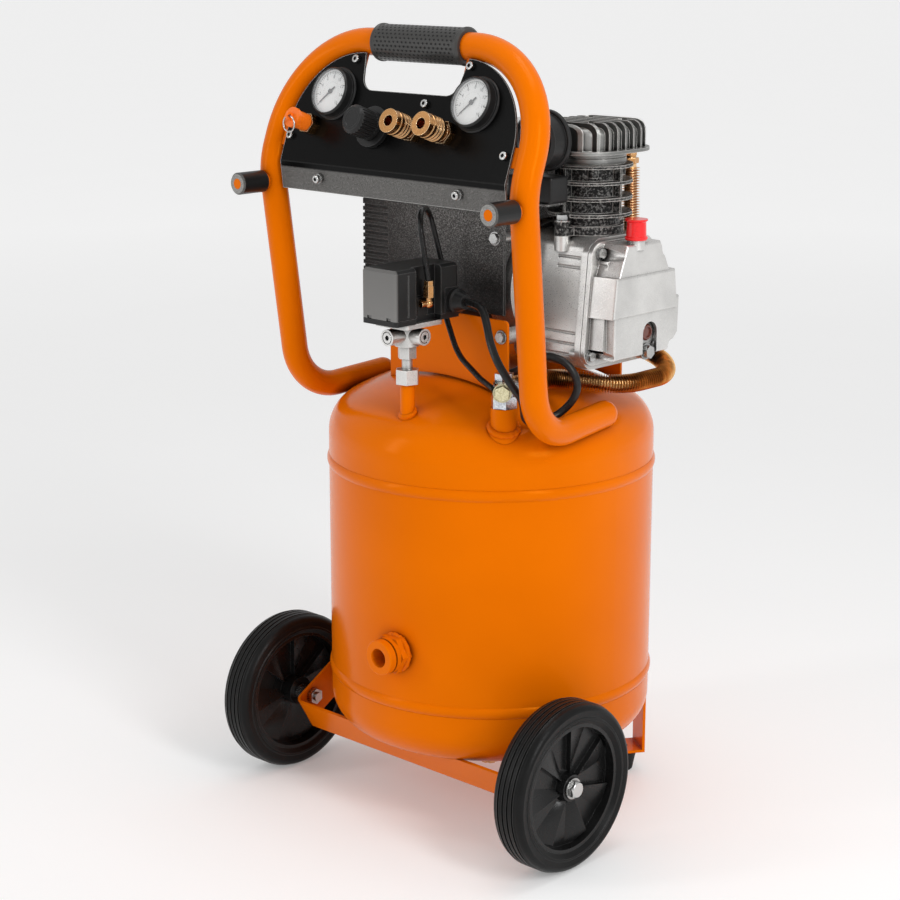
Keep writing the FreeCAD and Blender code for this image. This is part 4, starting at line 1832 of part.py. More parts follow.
def pump_bolts():
    bolts = []
    for y, z in cover_bolt_places():
        seat = Vector(COVER_START + COVER_FLANGE, y, z)
        bolts.append(hex_bolt(seat, X_AXIS, COVER_BOLT_DIAMETER, COVER_BOLT_FLATS, COVER_BOLT_HEAD, 18))
    drain_low = Vector(0, 0, SIGHT_DROP - DRAIN_PLUG_DROP)
    bolts.append(hex_bolt(sight_point(COVER_END - 8) + drain_low, X_AXIS, 8, 12, 7, 9))
    for x in (MOTOR_FOOT_X, CASE_FOOT_X):
        for way in (-1, 1):
            y = PUMP_Y + way * (SADDLE_SPACING + SADDLE_SHEET) / 2
            seat = Vector(x, y, SLOT_Z)
            bolt = hex_bolt(seat, Y_AXIS * way, PUMP_BOLT_DIAMETER, PUMP_BOLT_FLATS, PUMP_BOLT_HEAD, 14)
            bolts.append(bolt)
    bolt = hex_bolt(shroud_lug_point() + FRONT * SHROUD_LUG_PROUD, FRONT, SHROUD_BOLT, 10, 4, 12)
    bolts += [bolt, front_to_rear(bolt)]
    for x, y in base_bolt_places():
        base = Vector(x, y, DECK_Z + BASE_BOLT_EAR_HEIGHT)
        length = BASE_BOLT_EAR_HEIGHT + 12
        bolts.append(hex_bolt(base, Z_AXIS, BASE_BOLT_DIAMETER, BASE_BOLT_FLATS, BASE_BOLT_HEAD, length))
    bolts += [head_screw(x, y) for x, y in head_screw_places()]
    return group(bolts)


def head_screw(x, y):
    """Socket-head screw that clamps the head and valve plate to the barrel."""
    seat = Vector(x, y, HEAD_Z + HEAD_SCREW_SEAT)
    head = rod(HEAD_SCREW_HEAD / 2, seat, seat + Z_AXIS * 5)
    shank = rod(HEAD_SCREW_DIAMETER / 2, seat, seat - Z_AXIS * HEAD_SCREW_LENGTH)
    return head.fuse(shank).cut(hexagon(4, seat + Z_AXIS * 2.5, seat + Z_AXIS * 6))


# ---------------------------------------------------------------- cylinder and head
def base_bolt_places():
    front = (CYLINDER_X, PUMP_Y - BASE_BOLT_SIDE)
    rear = (CYLINDER_X, PUMP_Y + BASE_BOLT_SIDE)
    return [front, rear, (CYLINDER_X - BASE_BOLT_BACK, PUMP_Y)]


def head_screw_places():
    side = HEAD_SCREW_CIRCLE / 2 * math.sqrt(0.5)
    steps = ((1, 1), (-1, 1), (-1, -1), (1, -1))
    return [(CYLINDER_X + u * side, PUMP_Y + v * side) for u, v in steps]


def cylinder_point(z):
    return Vector(CYLINDER_X, PUMP_Y, z)


def base_flange():
    """Round flange with an arm and a raised ear for each bolt."""
    low = cylinder_point(DECK_Z)
    high = cylinder_point(DECK_Z + BASE_FLANGE)
    ear = BASE_BOLT_EAR / 2
    pieces = [rod(BARREL_DIAMETER / 2 + BASE_RIM, low, high)]
    for x, y in base_bolt_places():
        place = Vector(x, y, DECK_Z)
        way = (place - low).normalize()
        side = Z_AXIS.cross(way) * ear
        arm = Part.makePolygon([low + side, place + side, place - side, low - side, low + side])
        pieces.append(Part.Face(arm).extrude(Z_AXIS * BASE_FLANGE))
        pieces.append(rod(ear, place, place + Z_AXIS * BASE_BOLT_EAR_HEIGHT))
    return fuse_all(*pieces)


def cast_webs():
    """Thin upright webs that join the fins."""
    webs = []
    half = CAST_RIB_WIDTH / 2
    low = DECK_Z + FIN_FIRST
    high = low + (FINS - 1) * FIN_PITCH
    for i in range(4):
        web = block(BARREL_DIAMETER / 2 - 2, FIN_DIAMETER / 2 - 3, -half, half, low, high)
        web.rotate(Vector(0, 0, 0), Z_AXIS, 90 * i)
        webs.append(web.translated(Vector(CYLINDER_X, PUMP_Y, 0)))
    return webs


def cylinder():
    """Finned barrel with its base flange, spigot and bore."""
    barrel = rod(BARREL_DIAMETER / 2, cylinder_point(DECK_Z - SPIGOT_DEPTH), cylinder_point(VALVE_PLATE_Z))
    pieces = cast_webs()
    half = FIN_THICKNESS / 2
    for i in range(FINS):
        z = DECK_Z + FIN_FIRST + i * FIN_PITCH
        pieces.append(rod(FIN_DIAMETER / 2, cylinder_point(z - half), cylinder_point(z + half)))
    ear_top = DECK_Z + BASE_BOLT_EAR_HEIGHT
    pocket_top = ear_top + BASE_BOLT_HEAD + 2
    pockets = upright_bores(base_bolt_places(), BASE_BOLT_EAR + 2, ear_top, pocket_top)
    pieces = [piece.cut(pockets) for piece in pieces]
    pieces.append(base_flange())
    collar = VALVE_PLATE_DIAMETER / 2 - 1
    pieces.append(rod(collar, cylinder_point(VALVE_PLATE_Z - 4.5), cylinder_point(VALVE_PLATE_Z)))
    screw_low = HEAD_Z + HEAD_SCREW_SEAT - HEAD_SCREW_LENGTH
    for x, y in head_screw_places():
        pieces.append(rod(HEAD_SCREW_DIAMETER, Vector(x, y, screw_low - 3), Vector(x, y, VALVE_PLATE_Z)))
    cuts = [rod(BORE / 2, cylinder_point(DECK_Z - 20), cylinder_point(VALVE_PLATE_Z + 1))]
    cuts += upright_bores(base_bolt_places(), BASE_BOLT_DIAMETER, DECK_Z - 1, ear_top + 1)
    cuts += upright_bores(head_screw_places(), HEAD_SCREW_DIAMETER, screw_low - 1, VALVE_PLATE_Z + 1)
    return barrel.fuse(pieces).cut(cuts)


def head_block(inset, low, high, shoulder):
    """Rounded head outline, inset all round, with rolled top edges."""
    half_x = HEAD_LENGTH / 2 - inset
    half_y = HEAD_WIDTH / 2 - inset
    x0 = CYLINDER_X - half_x
    y0 = PUMP_Y - half_y
    box = block(x0, x0 + 2 * half_x, y0, y0 + 2 * half_y, low, high)
    box = rounded(box, HEAD_CORNER - inset, lambda e: is_along(e, Z_AXIS))
    if shoulder:
        box = box.makeFillet(shoulder, [e for e in box.Edges if e.CenterOfMass.z > high - 0.01])
    return box


def cylinder_head():
    """Head with a brim, ribs along the shaft and side ports, on its valve plate."""
    top = HEAD_Z + HEAD_HEIGHT
    envelope = head_block(0, HEAD_Z, top, HEAD_SHOULDER)
    core = head_block(HEAD_RIB_DEPTH, HEAD_Z, top - HEAD_RIB_DEPTH, HEAD_SHOULDER - 3)
    brim = head_block(-HEAD_BRIM, HEAD_Z, HEAD_Z + HEAD_BRIM_HEIGHT, 0)
    ribs = []
    for i in range(HEAD_RIBS):
        y = PUMP_Y + (i - (HEAD_RIBS - 1) / 2) * HEAD_RIB_PITCH
        slab = block(0, 2 * CYLINDER_X, y - HEAD_RIB_THICKNESS / 2, y + HEAD_RIB_THICKNESS / 2, HEAD_Z, top)
        ribs.append(envelope.common(slab))
    ports = [head_port(FRONT, FILTER_SIDE, 10)]
    head = core.fuse([brim] + ribs + ports)
    cuts = [rod(BORE / 2 - 4, cylinder_point(HEAD_Z - 1), cylinder_point(HEAD_Z + 12))]
    cuts += upright_bores(head_screw_places(), HEAD_SCREW_DIAMETER, HEAD_Z - 1, top + 1)
    cuts += upright_bores(head_screw_places(), HEAD_SCREW_HEAD + 2, HEAD_Z + HEAD_SCREW_SEAT, top + 1)
    return group([head.cut(cuts), valve_plate()])


def head_port(way, side, radius):
    """Round boss on the head's front."""
    start = Vector(CYLINDER_X + side, PUMP_Y, HEAD_Z + PORT_RISE) + way * 20
    return rod(radius, start, start + way * (HEAD_WIDTH / 2 - 20))


def discharge_pad(reach):
    """Flat-ended boss on the valve plate's rear, ending at the given reach."""
    x = CYLINDER_X + DISCHARGE_SIDE
    return block(x - 7, x + 7, PUMP_Y + 20, PUMP_Y + reach, VALVE_PLATE_Z, HEAD_Z)


def valve_plate():
    """Round plate in two layers with a discharge boss at its rear."""
    radius = VALVE_PLATE_DIAMETER / 2
    middle = (VALVE_PLATE_Z + HEAD_Z) / 2
    plate = rod(radius, cylinder_point(VALVE_PLATE_Z), cylinder_point(HEAD_Z))
    groove = pipe(radius + 1, radius - 1.2, cylinder_point(middle - 0.6), cylinder_point(middle + 0.6))
    plate = plate.cut(groove).fuse(discharge_pad(VALVE_PLATE_DIAMETER / 2 + 4))
    places = [(CYLINDER_X - 9, PUMP_Y), (CYLINDER_X + 9, PUMP_Y)]
    cuts = upright_bores(places, 10, VALVE_PLATE_Z - 1, HEAD_Z + 1)
    cuts += upright_bores(head_screw_places(), HEAD_SCREW_DIAMETER, VALVE_PLATE_Z - 1, HEAD_Z + 1)
    return plate.cut(cuts)


def air_filter():
    """Round intake filter on the head's front port, with a wide ring behind its body."""
    y = PUMP_Y - HEAD_WIDTH / 2
    centre = Vector(CYLINDER_X + FILTER_SIDE, y, HEAD_Z + PORT_RISE)
    body = FILTER_DIAMETER / 2
    ring = FILTER_RING_DIAMETER / 2
    neck = FILTER_NECK / 2
    start = HEAD_BRIM + 1
    shelf = start + FILTER_RING
    end = shelf + FILTER_BODY
    steps = [(neck, 0), (neck, start), (ring - 1.5, start), (ring, start + 1.5), (ring, shelf - 1)]
    steps += [(ring - 1, shelf), (body, shelf), (body, end - 3), (body - 3, end), (body - 8, end)]
    steps += [(body - 9, end - 1.5), (0, end - 1.5)]
    return lathe((0, 0), steps, centre, FRONT)


def discharge_elbow():
    """Corner of the brass elbow at the valve plate."""
    return Vector(CYLINDER_X + DISCHARGE_SIDE, PUMP_Y + 67, VALVE_PLATE_Z + 4)


def discharge_points():
    """Route of the finned tube from the elbow to the check valve."""
    start = discharge_elbow() - Z_AXIS * 12
    low = Vector(start.x + 2, start.y + 2, CASE_LOW + 9)
    outside = Vector(CRANKCASE_END + 27, PUMP_Y + 76, CASE_LOW - 15)
    under = Vector(CRANKCASE_END + 14, PUMP_Y - 4, CASE_LOW - 20)
    front = Vector(CHECK_X, PUMP_Y - 50, BANJO_Z)
    valve = Vector(CHECK_X, CHECK_Y + CHECK_BODY_DIAMETER / 2 + 5, BANJO_Z)
    return [start, low, outside, under, front, valve]


def discharge_tube():
    points = discharge_points()
    line = sweep(points, [DISCHARGE_RADIUS, DISCHARGE_RADIUS + 4, 60, 50], DISCHARGE_DIAMETER / 2)
    corner = discharge_elbow()
    plate = Vector(corner.x, PUMP_Y + VALVE_PLATE_DIAMETER / 2 + 4, corner.z)
    elbow = fuse_all(rod(4.5, corner, plate), Part.makeSphere(6.5, corner), rod(6, corner, points[0]))
    upper_nut = hexagon(15, points[0], points[0] + Z_AXIS * 6)
    valve_nut = hexagon(DISCHARGE_NUT_FLATS, points[-1], points[-1] + Y_AXIS * DISCHARGE_NUT_LENGTH)
    return fuse_all(line, elbow, upper_nut, valve_nut)


# ---------------------------------------------------------------- crank train
def piston():
    """Piston with its pin, drawn at the bottom of the stroke."""
    at = lambda z: cylinder_point(WRIST_PIN_Z + z)
    radius = BORE / 2 - RUNNING_GAP
    low = -PISTON_BELOW
    high = low + PISTON_HEIGHT
    body = rod(radius, at(low), at(high))
    room = rod(radius - PISTON_WALL, at(low - 1), at(high - 6))
    skirt = body.cut(room)
    pin = rod(WRIST_PIN_DIAMETER / 2, at(0) - X_AXIS * (radius - 1), at(0) + X_AXIS * (radius - 1))
    bosses = []
    for way in (-1, 1):
        start = at(0) + X_AXIS * (way * (ROD_WIDTH / 2 + MOVING_GAP))
        bosses.append(rod(WRIST_PIN_DIAMETER / 2 + 3, start, at(0) + X_AXIS * (way * (radius - 1))))
    for z in (high - 4, high - 8):
        ring_room = pipe(radius + 1, radius - 0.8, at(z - 0.8), at(z + 0.8))
        skirt = skirt.cut(ring_room)
    bosses = [boss.common(rod(radius - 1, at(-20), at(20))) for boss in bosses]
    return fuse_all(skirt, pin, *bosses)


def connecting_rod():
    big = Vector(CYLINDER_X, PUMP_Y, SHAFT_Z - CRANK_THROW)
    small = cylinder_point(WRIST_PIN_Z)
    half = X_AXIS * (ROD_WIDTH / 2)
    big_eye = rod(ROD_EYE / 2, big - half, big + half)
    small_eye = rod(ROD_SMALL_EYE / 2, small - half, small + half)
    x0 = CYLINDER_X - ROD_WIDTH / 2 + 1.5
    x1 = CYLINDER_X + ROD_WIDTH / 2 - 1.5
    shank = block(x0, x1, PUMP_Y - ROD_SHANK / 2, PUMP_Y + ROD_SHANK / 2, big.z, small.z)
    body = fuse_all(big_eye, small_eye, shank)
    big_bore = rod(CRANK_PIN_DIAMETER / 2 + RUNNING_GAP, big - half * 2, big + half * 2)
    small_bore = rod(WRIST_PIN_DIAMETER / 2 + RUNNING_GAP, small - half * 2, small + half * 2)
    return body.cut([big_bore, small_bore])


def crank_web():
    """Web with its counterweight opposite the crank pin, whose stub stops short of the rod."""
    pin_end = CYLINDER_X - ROD_WIDTH / 2 - MOVING_GAP
    x1 = pin_end - CRANK_PIN_STUB
    x0 = x1 - CRANK_WEB
    disc = rod(COUNTERWEIGHT_RADIUS, shaft_point(x0), shaft_point(x1))
    half = COUNTERWEIGHT_RADIUS * 0.85
    upper = block(x0, x1, PUMP_Y - half, PUMP_Y + half, SHAFT_Z + 2, SHAFT_Z + 60)
    waist = rod(CRANK_THROW * 0.9, shaft_point(x0), shaft_point(x1))
    pin_z = SHAFT_Z - CRANK_THROW
    cheek = rod(CRANK_PIN_DIAMETER * 0.75, Vector(x0, PUMP_Y, pin_z), Vector(x1, PUMP_Y, pin_z))
    pin = rod(CRANK_PIN_DIAMETER / 2, Vector(x0, PUMP_Y, pin_z), Vector(pin_end, PUMP_Y, pin_z))
    return [disc.common(upper), waist, cheek, pin]


def rotor():
    middle = STATOR_START + STATOR_LENGTH / 2
    half = ROTOR_LENGTH / 2
    return rod(STATOR_BORE / 2 - AIR_GAP, shaft_point(middle - half), shaft_point(middle + half))


def fan():
    """Cooling fan on the shaft's end, with flat radial blades."""
    x0 = SHROUD_START + SHROUD_WALL + 5
    x1 = x0 + FAN_WIDTH
    bore = rod(SHAFT_DIAMETER / 2 + SEAT_GAP, shaft_point(x0 - 1), shaft_point(x1 + 1))
    hub_piece = rod(FAN_HUB / 2, shaft_point(x0), shaft_point(x1))
    back = rod(FAN_DIAMETER / 2 - 6, shaft_point(x1 - 2.5), shaft_point(x1))
    blade_piece = block(x0, x1, PUMP_Y - 1.2, PUMP_Y + 1.2, SHAFT_Z + 10, SHAFT_Z + FAN_DIAMETER / 2)
    blades = []
    for i in range(FAN_BLADES):
        copy = blade_piece.copy()
        copy.rotate(shaft_point(0), X_AXIS, 360.0 * i / FAN_BLADES)
        blades.append(copy)
    return fuse_all(hub_piece, back, *blades).cut(bore)


def crankshaft():
    x0 = SHROUD_START + SHROUD_WALL + 6
    x1 = CYLINDER_X - ROD_WIDTH / 2 - MOVING_GAP * 2
    shaft = rod(SHAFT_DIAMETER / 2, shaft_point(x0), shaft_point(x1))
    return group([fuse_all(shaft, rotor(), *crank_web()), fan()])


def bearing(x0):
    """Ball bearing simplified to two races and a filled middle."""
    x1 = x0 + BEARING_WIDTH
    outer = BEARING_OUTER / 2
    inner = SHAFT_DIAMETER / 2 + RUNNING_GAP
    return pipe(outer, inner, shaft_point(x0), shaft_point(x1))


BELL_X = STATOR_START + CUP_OVERLAP - END_BELL_LENGTH - CUP_OVERLAP


def shaft_bearings():
    return group([bearing(CRANKCASE_START), bearing(BELL_X)])


# ---------------------------------------------------------------- motor
def end_bell():
    """Cup on the stator's far end with its bearing seat and feet."""
    cup = motor_cup(BELL_X, STATOR_START + CUP_OVERLAP)
    seat = rod(BEARING_OUTER / 2 + 5, shaft_point(BELL_X), shaft_point(BELL_X + BEARING_WIDTH + 2))
    reach = (SADDLE_SPACING - SADDLE_SHEET) / 2 - SEAT_GAP
    feet = []
    for way in (-1, 1):
        start = Vector(MOTOR_FOOT_X, PUMP_Y + way * STATOR_DIAMETER * 0.4, SLOT_Z)
        feet.append(rod(LUG_DIAMETER / 2, start, Vector(MOTOR_FOOT_X, PUMP_Y + way * reach, SLOT_Z)))
    room = rod(STATOR_DIAMETER / 2 + SEAT_GAP, shaft_point(BELL_X + MOTOR_CUP), shaft_point(0))
    feet = [foot.cut(room) for foot in feet]
    cuts = [rod(BEARING_OUTER / 2 + SEAT_GAP, shaft_point(BELL_X), shaft_point(BELL_X + BEARING_WIDTH))]
    cuts.append(rod(SHAFT_DIAMETER / 2 + 3, shaft_point(BELL_X - 1), shaft_point(0)))
    for i in range(6):
        vent = rod(7, Vector(BELL_X - 1, PUMP_Y, SHAFT_Z + 42), Vector(BELL_X + 8, PUMP_Y, SHAFT_Z + 42))
        vent.rotate(shaft_point(0), X_AXIS, 60 * i)
        cuts.append(vent)
    return cup.fuse([seat] + feet + shroud_pads()).cut(cuts + bolt_bores(MOTOR_FOOT_X))


def stator():
    start = STATOR_START
    end = start + STATOR_LENGTH
    core = pipe(STATOR_DIAMETER / 2, STATOR_BORE / 2, shaft_point(start), shaft_point(end))
    coil_outer = STATOR_DIAMETER / 2 - 10
    coil_inner = STATOR_BORE / 2 + 3
    coil_low = pipe(coil_outer, coil_inner, shaft_point(start - 11), shaft_point(start))
    coil_high = pipe(coil_outer, coil_inner, shaft_point(end), shaft_point(end + 8))
    return fuse_all(core, coil_low, coil_high)


def motor_stator():
    return group([stator(), end_bell()])


def shroud_face(x, inset):
    """End view of the motor cover at a given X, inset all round but its foot."""
    low = CROWN_Z + SHROUD_BOTTOM
    top = low + SHROUD_HEIGHT - inset
    half = SHROUD_WIDTH / 2 - inset
    side = low + SHROUD_SIDE
    step = side + SHROUD_STEP
    ledge = SHROUD_TOP_WIDTH / 2 - inset * 0.7
    groove = 1.6
    right = [(half, low), (half, side - 1), (half - groove, side), (half - groove, side + 2)]
    right += [(half - 0.4, side + 3), (half - 0.8, step - 1), (half - SHROUD_STEP_IN, step + 2)]
    right += [(ledge, top)]
    left = [(-u, v) for u, v in right[::-1]]
    corners = [Vector(x, PUMP_Y + u, v) for u, v in right + left]
    return Part.Face(Part.makePolygon(corners + corners[:1]))


def shroud_shell():
    outer = shroud_face(SHROUD_START, 0).extrude(X_AXIS * (SHROUD_END - SHROUD_START))
    top = CROWN_Z + SHROUD_BOTTOM + SHROUD_HEIGHT
    ledge = lambda e: is_along(e, X_AXIS) and e.CenterOfMass.z > top - 1
    outer = rounded(outer, SHROUD_CORNER, ledge)
    ends = [e for e in outer.Edges if abs(e.CenterOfMass.x - SHROUD_START) < 0.01]
    ends = [e for e in ends if e.CenterOfMass.z > top - SHROUD_HEIGHT + 1]
    outer = outer.makeChamfer(1.2, ends)
    room_end = SHROUD_END + 1
    start = SHROUD_START + SHROUD_WALL
    room = shroud_face(start, SHROUD_WALL).extrude(X_AXIS * (room_end - start))
    room = room.translated(Vector(0, 0, -0.01))
    return outer.cut(room)


def shroud_vents():
    """Grooves round the end zone and slots through the end wall."""
    low = CROWN_Z + SHROUD_BOTTOM + 8
    half = SHROUD_WIDTH / 2
    inside = half - VENT_DEPTH
    x0 = SHROUD_START
    x1 = x0 + VENT_LENGTH
    cuts = []
    for i in range(int((SHROUD_SIDE - 10) / VENT_PITCH)):
        z = low + i * VENT_PITCH
        z1 = z + VENT_HEIGHT
        outer = block(x0 - 1, x1, PUMP_Y - half - 1, PUMP_Y + half + 1, z, z1)
        inner = block(x0 + VENT_DEPTH, x1 + 1, PUMP_Y - inside, PUMP_Y + inside, z - 1, z1 + 1)
        slot = block(x0 - 1, x0 + 5, PUMP_Y - 50, PUMP_Y + 50, z, z1)
        cuts += [outer.cut(inner), slot]
    return cuts


def shroud_lug_point():
    """Front of the lug that bolts the shroud to the crankcase."""
    return Vector(SHROUD_END - SHROUD_BOLT_INSET, PUMP_Y - SHROUD_WIDTH / 2, SHAFT_Z + SHROUD_BOLT_RISE)


def shroud_posts():
    """Posts on the crankcase that carry the shroud's lugs."""
    front = shroud_lug_point()
    start = front - FRONT * SHROUD_LUG_DEPTH
    post = rod(SHROUD_POST / 2, start, Vector(front.x, PUMP_Y - STATOR_DIAMETER * 0.25, front.z))
    post = post.cut(rod(SHROUD_BOLT / 2 + SEAT_GAP, front, start - FRONT * 8))
    return [post, front_to_rear(post)]


def front_to_rear(shape):
    """Copy mirrored about the upright plane through the shaft."""
    return shape.mirror(Vector(0, PUMP_Y, 0), Y_AXIS)


def shroud_pads():
    """Pads on the end bell that the shroud's sides rest on."""
    reach = SHROUD_WIDTH / 2 - SHROUD_WALL
    x = STATOR_START - END_BELL_LENGTH / 2
    start = Vector(x, PUMP_Y - reach, SHAFT_Z)
    pad = rod(SHROUD_POST, start, Vector(x, PUMP_Y - STATOR_DIAMETER / 2 - 1, SHAFT_Z))
    return [pad, front_to_rear(pad)]


def motor_shroud():
    """Open-bottomed cover over the motor, relieved round the cylinder."""
    low = CROWN_Z + SHROUD_BOTTOM
    wall_x = CRANKCASE_START - 6
    end_wall = shroud_face(wall_x, 2).extrude(X_AXIS * SHROUD_WALL)
    cup_room = rod(STATOR_DIAMETER / 2 + MOTOR_CUP + 1, shaft_point(wall_x - 1), shaft_point(SHROUD_END + 1))
    under = block(wall_x - 1, wall_x + 6, PUMP_Y - 66, PUMP_Y + 66, low - 5, SHAFT_Z)
    shelf_z = SHAFT_Z + CAPACITOR_RISE - CAPACITOR_HEIGHT / 2 - 2.1
    y0 = PUMP_Y - SHROUD_WIDTH / 2 + SHROUD_WALL - 1
    shelf = block(wall_x, CYLINDER_X + 10, y0, y0 + CAPACITOR_DEPTH, shelf_z, shelf_z + 2)
    shell = shroud_shell().fuse([end_wall.cut([cup_room, under]), shelf])
    round_cylinder = rod(FIN_DIAMETER / 2 + 2, cylinder_point(DECK_Z), cylinder_point(HEAD_Z + 20))
    front = shroud_lug_point()
    lug = rod(SHROUD_LUG / 2, front + FRONT * SHROUD_LUG_PROUD, front - FRONT * SHROUD_LUG_DEPTH)
    hole = rod(SHROUD_BOLT / 2 + SEAT_GAP, front + FRONT * 2, front - FRONT * (SHROUD_LUG_DEPTH + 1))
    post_room = rod(SHROUD_POST / 2 + 0.6, front - FRONT * SHROUD_LUG_DEPTH, front - FRONT * 70)
    rooms = [post_room, front_to_rear(post_room)]
    cuts = [hole, front_to_rear(hole), round_cylinder] + shroud_vents()
    return shell.cut(rooms).fuse([lug, front_to_rear(lug)]).cut(cuts)


def capacitor_box():
    """Box for the capacitor with a seam between body and cap."""
    x0 = SHROUD_END + 0.4
    x1 = x0 + CAPACITOR_LENGTH
    y0 = PUMP_Y - SHROUD_WIDTH / 2 + SHROUD_WALL + 0.4
    z0 = SHAFT_Z + CAPACITOR_RISE - CAPACITOR_HEIGHT / 2
    y1 = y0 + CAPACITOR_DEPTH
    box = block(x0, x1, y0, y1, z0, z0 + CAPACITOR_HEIGHT)
    box = box.makeFillet(3, box.Edges)
    seam_x = x1 - CAPACITOR_LENGTH * 0.36
    seam = block(seam_x, seam_x + 1, y0 - 1, y1 + 1, z0 - 1, z0 + CAPACITOR_HEIGHT + 1)
    core = block(seam_x, seam_x + 1, y0 + 1, y1 - 1, z0 + 1, z0 + CAPACITOR_HEIGHT - 1)
    return box.cut(seam.cut(core))


# ---------------------------------------------------------------- motor cable
def cable_points():
    """Route of the cable from the switch's gland to the motor's gland."""
    start = Vector(SWITCH_X1 + GLAND_LENGTH, GLAND_Y, GLAND_Z)
    points = [start, start + X_AXIS * 16]
    points += [Vector(96.4, -116.6, 560.6), Vector(123, -136, 527.8), Vector(146, -132, 495.8)]
    points += [Vector(149, -117, 479.6), Vector(135, -100, 449.4), Vector(141, -55, 451.4)]
    points += [Vector(162.3, -44.5, 480.6), Vector(153, -54.4, 510.7), Vector(120.6, -62.8, 515.5)]
    points += [Vector(87.6, -63.7, 488.1), Vector(63.3, -59.4, 489.9)]
    return points + [gland_point(CASE_GLAND_RADIUS + 18.4), gland_point(CASE_GLAND_RADIUS)]


def motor_cable():
    return cord("motor_cable", cable_points(), CABLE_DIAMETER)


# ---------------------------------------------------------------- writing
def pieces():
    tank = tank_envelope()
    wheel = {"tyre": tyre(), "hub": hub()}
    left, right = COUPLING_X
    gauge_x = GAUGE_SPACING / 2
    made = {}
    made["tank_shell"] = tank_shell()
    made["tank_top_head"] = top_head()
    made["tank_bottom_head"] = bottom_head()
    made["tank_sockets"] = tank_sockets(tank)
    made["drain_valve"] = drain_body()
    made["drain_knob"] = drain_knob()
    made["wheel_strap"] = wheel_strap(tank)
    made["right_tyre"] = wheel["tyre"]
    made["right_hub"] = wheel["hub"]
    made["left_tyre"] = mirrored(wheel["tyre"])
    made["left_hub"] = mirrored(wheel["hub"])
    made["wheel_bolts"] = group(both_sides(wheel_bolt()))
    made["rear_foot_brackets"] = rear_foot_brackets(tank)
    made["rear_feet"] = rear_feet()
    made["handle_frame"] = handle_frame(tank)
    made["handle_grip"] = handle_grip()
    made["hook_sleeves"] = hook_sleeves()
    made["control_panel"] = control_panel()
    made["panel_screws"] = panel_screws()
    made["inlet_manifold"] = inlet_manifold()
    made["outlet_manifold"] = outlet_manifold()
    made["gauge_cases"] = group([gauge_case(-gauge_x), gauge_case(gauge_x)])
    made["gauge_dials"] = group([gauge_dial(-gauge_x), gauge_dial(gauge_x)])
    made["gauge_lenses"] = group([gauge_lens(-gauge_x), gauge_lens(gauge_x)])
    made["tank_gauge_needle"] = gauge_needle(-gauge_x)
    made["outlet_gauge_needle"] = gauge_needle(gauge_x)
    made["regulator_body"] = regulator_body()
    made["regulator_knob"] = regulator_knob()
    made["coupler_bodies"] = group([coupling_body(left), coupling_body(right)])
    made["left_coupler_sleeve"] = coupling_sleeve(left)
    made["right_coupler_sleeve"] = coupling_sleeve(right)
    made["safety_valve_body"] = safety_valve_body()
    made["safety_valve_cap"] = safety_valve_cap()
    made["safety_valve_ring"] = safety_valve_ring()
    made["switch_manifold"] = switch_manifold()
    made["pressure_switch_base"] = pressure_switch_base()
    made["pressure_switch_cover"] = pressure_switch_cover()
    made["power_rocker"] = power_rocker()
    made["unloader_valve"] = unloader_valve()
    made["unloader_tube"] = unloader_tube()
    made["check_valve"] = check_valve()
    made["pump_saddle"] = pump_saddle(tank)
    made["crankcase"] = crankcase()
    made["crankcase_cover"] = group([crankcase_cover(), gasket()])
    made["sight_glass"] = sight_glass()
    made["oil_plug"] = oil_plug()
    made["pump_bolts"] = pump_bolts()
    made["cylinder"] = cylinder()
    made["cylinder_head"] = cylinder_head()
    made["air_filter"] = air_filter()
    made["discharge_tube"] = discharge_tube()
    made["piston"] = piston()
    made["connecting_rod"] = connecting_rod()
    made["crankshaft"] = crankshaft()
    made["shaft_bearings"] = shaft_bearings()
    made["motor_stator"] = motor_stator()
    made["motor_shroud"] = motor_shroud()
    made["capacitor_box"] = capacitor_box()
    made["motor_cable"] = motor_cable()
    return made


def write_parts():
    os.makedirs("parts", exist_ok=True)
    print("tank moved by %.2f in Y" % TANK_Y)
    for name, shape in pieces().items():
        placed = shape.translated(Vector(0, TANK_Y, 0))
        state = "ok" if placed.isValid() else "NOT VALID"
        print(name, state, len(placed.Solids), "%.0f" % placed.Volume)
        placed.exportStep("parts/%s.step" % name)


write_parts()
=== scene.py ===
import json
import math
import random

import bmesh
import bpy
from mathutils import Matrix, Vector


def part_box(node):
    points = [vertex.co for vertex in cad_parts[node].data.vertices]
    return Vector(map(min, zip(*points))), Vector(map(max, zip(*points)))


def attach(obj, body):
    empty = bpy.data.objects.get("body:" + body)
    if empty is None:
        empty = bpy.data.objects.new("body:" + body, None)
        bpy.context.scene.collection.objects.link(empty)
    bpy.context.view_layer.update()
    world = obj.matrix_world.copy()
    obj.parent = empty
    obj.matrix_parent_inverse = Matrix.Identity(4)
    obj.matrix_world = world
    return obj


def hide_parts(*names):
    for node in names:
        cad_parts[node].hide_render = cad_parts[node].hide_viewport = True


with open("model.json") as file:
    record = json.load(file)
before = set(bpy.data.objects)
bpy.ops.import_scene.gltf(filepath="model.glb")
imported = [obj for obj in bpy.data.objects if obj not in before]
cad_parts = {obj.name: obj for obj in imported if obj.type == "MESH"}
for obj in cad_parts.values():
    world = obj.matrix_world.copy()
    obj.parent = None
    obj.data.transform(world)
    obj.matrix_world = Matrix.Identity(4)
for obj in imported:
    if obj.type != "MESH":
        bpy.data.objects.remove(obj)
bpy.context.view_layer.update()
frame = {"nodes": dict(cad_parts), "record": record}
NODES = frame["nodes"]

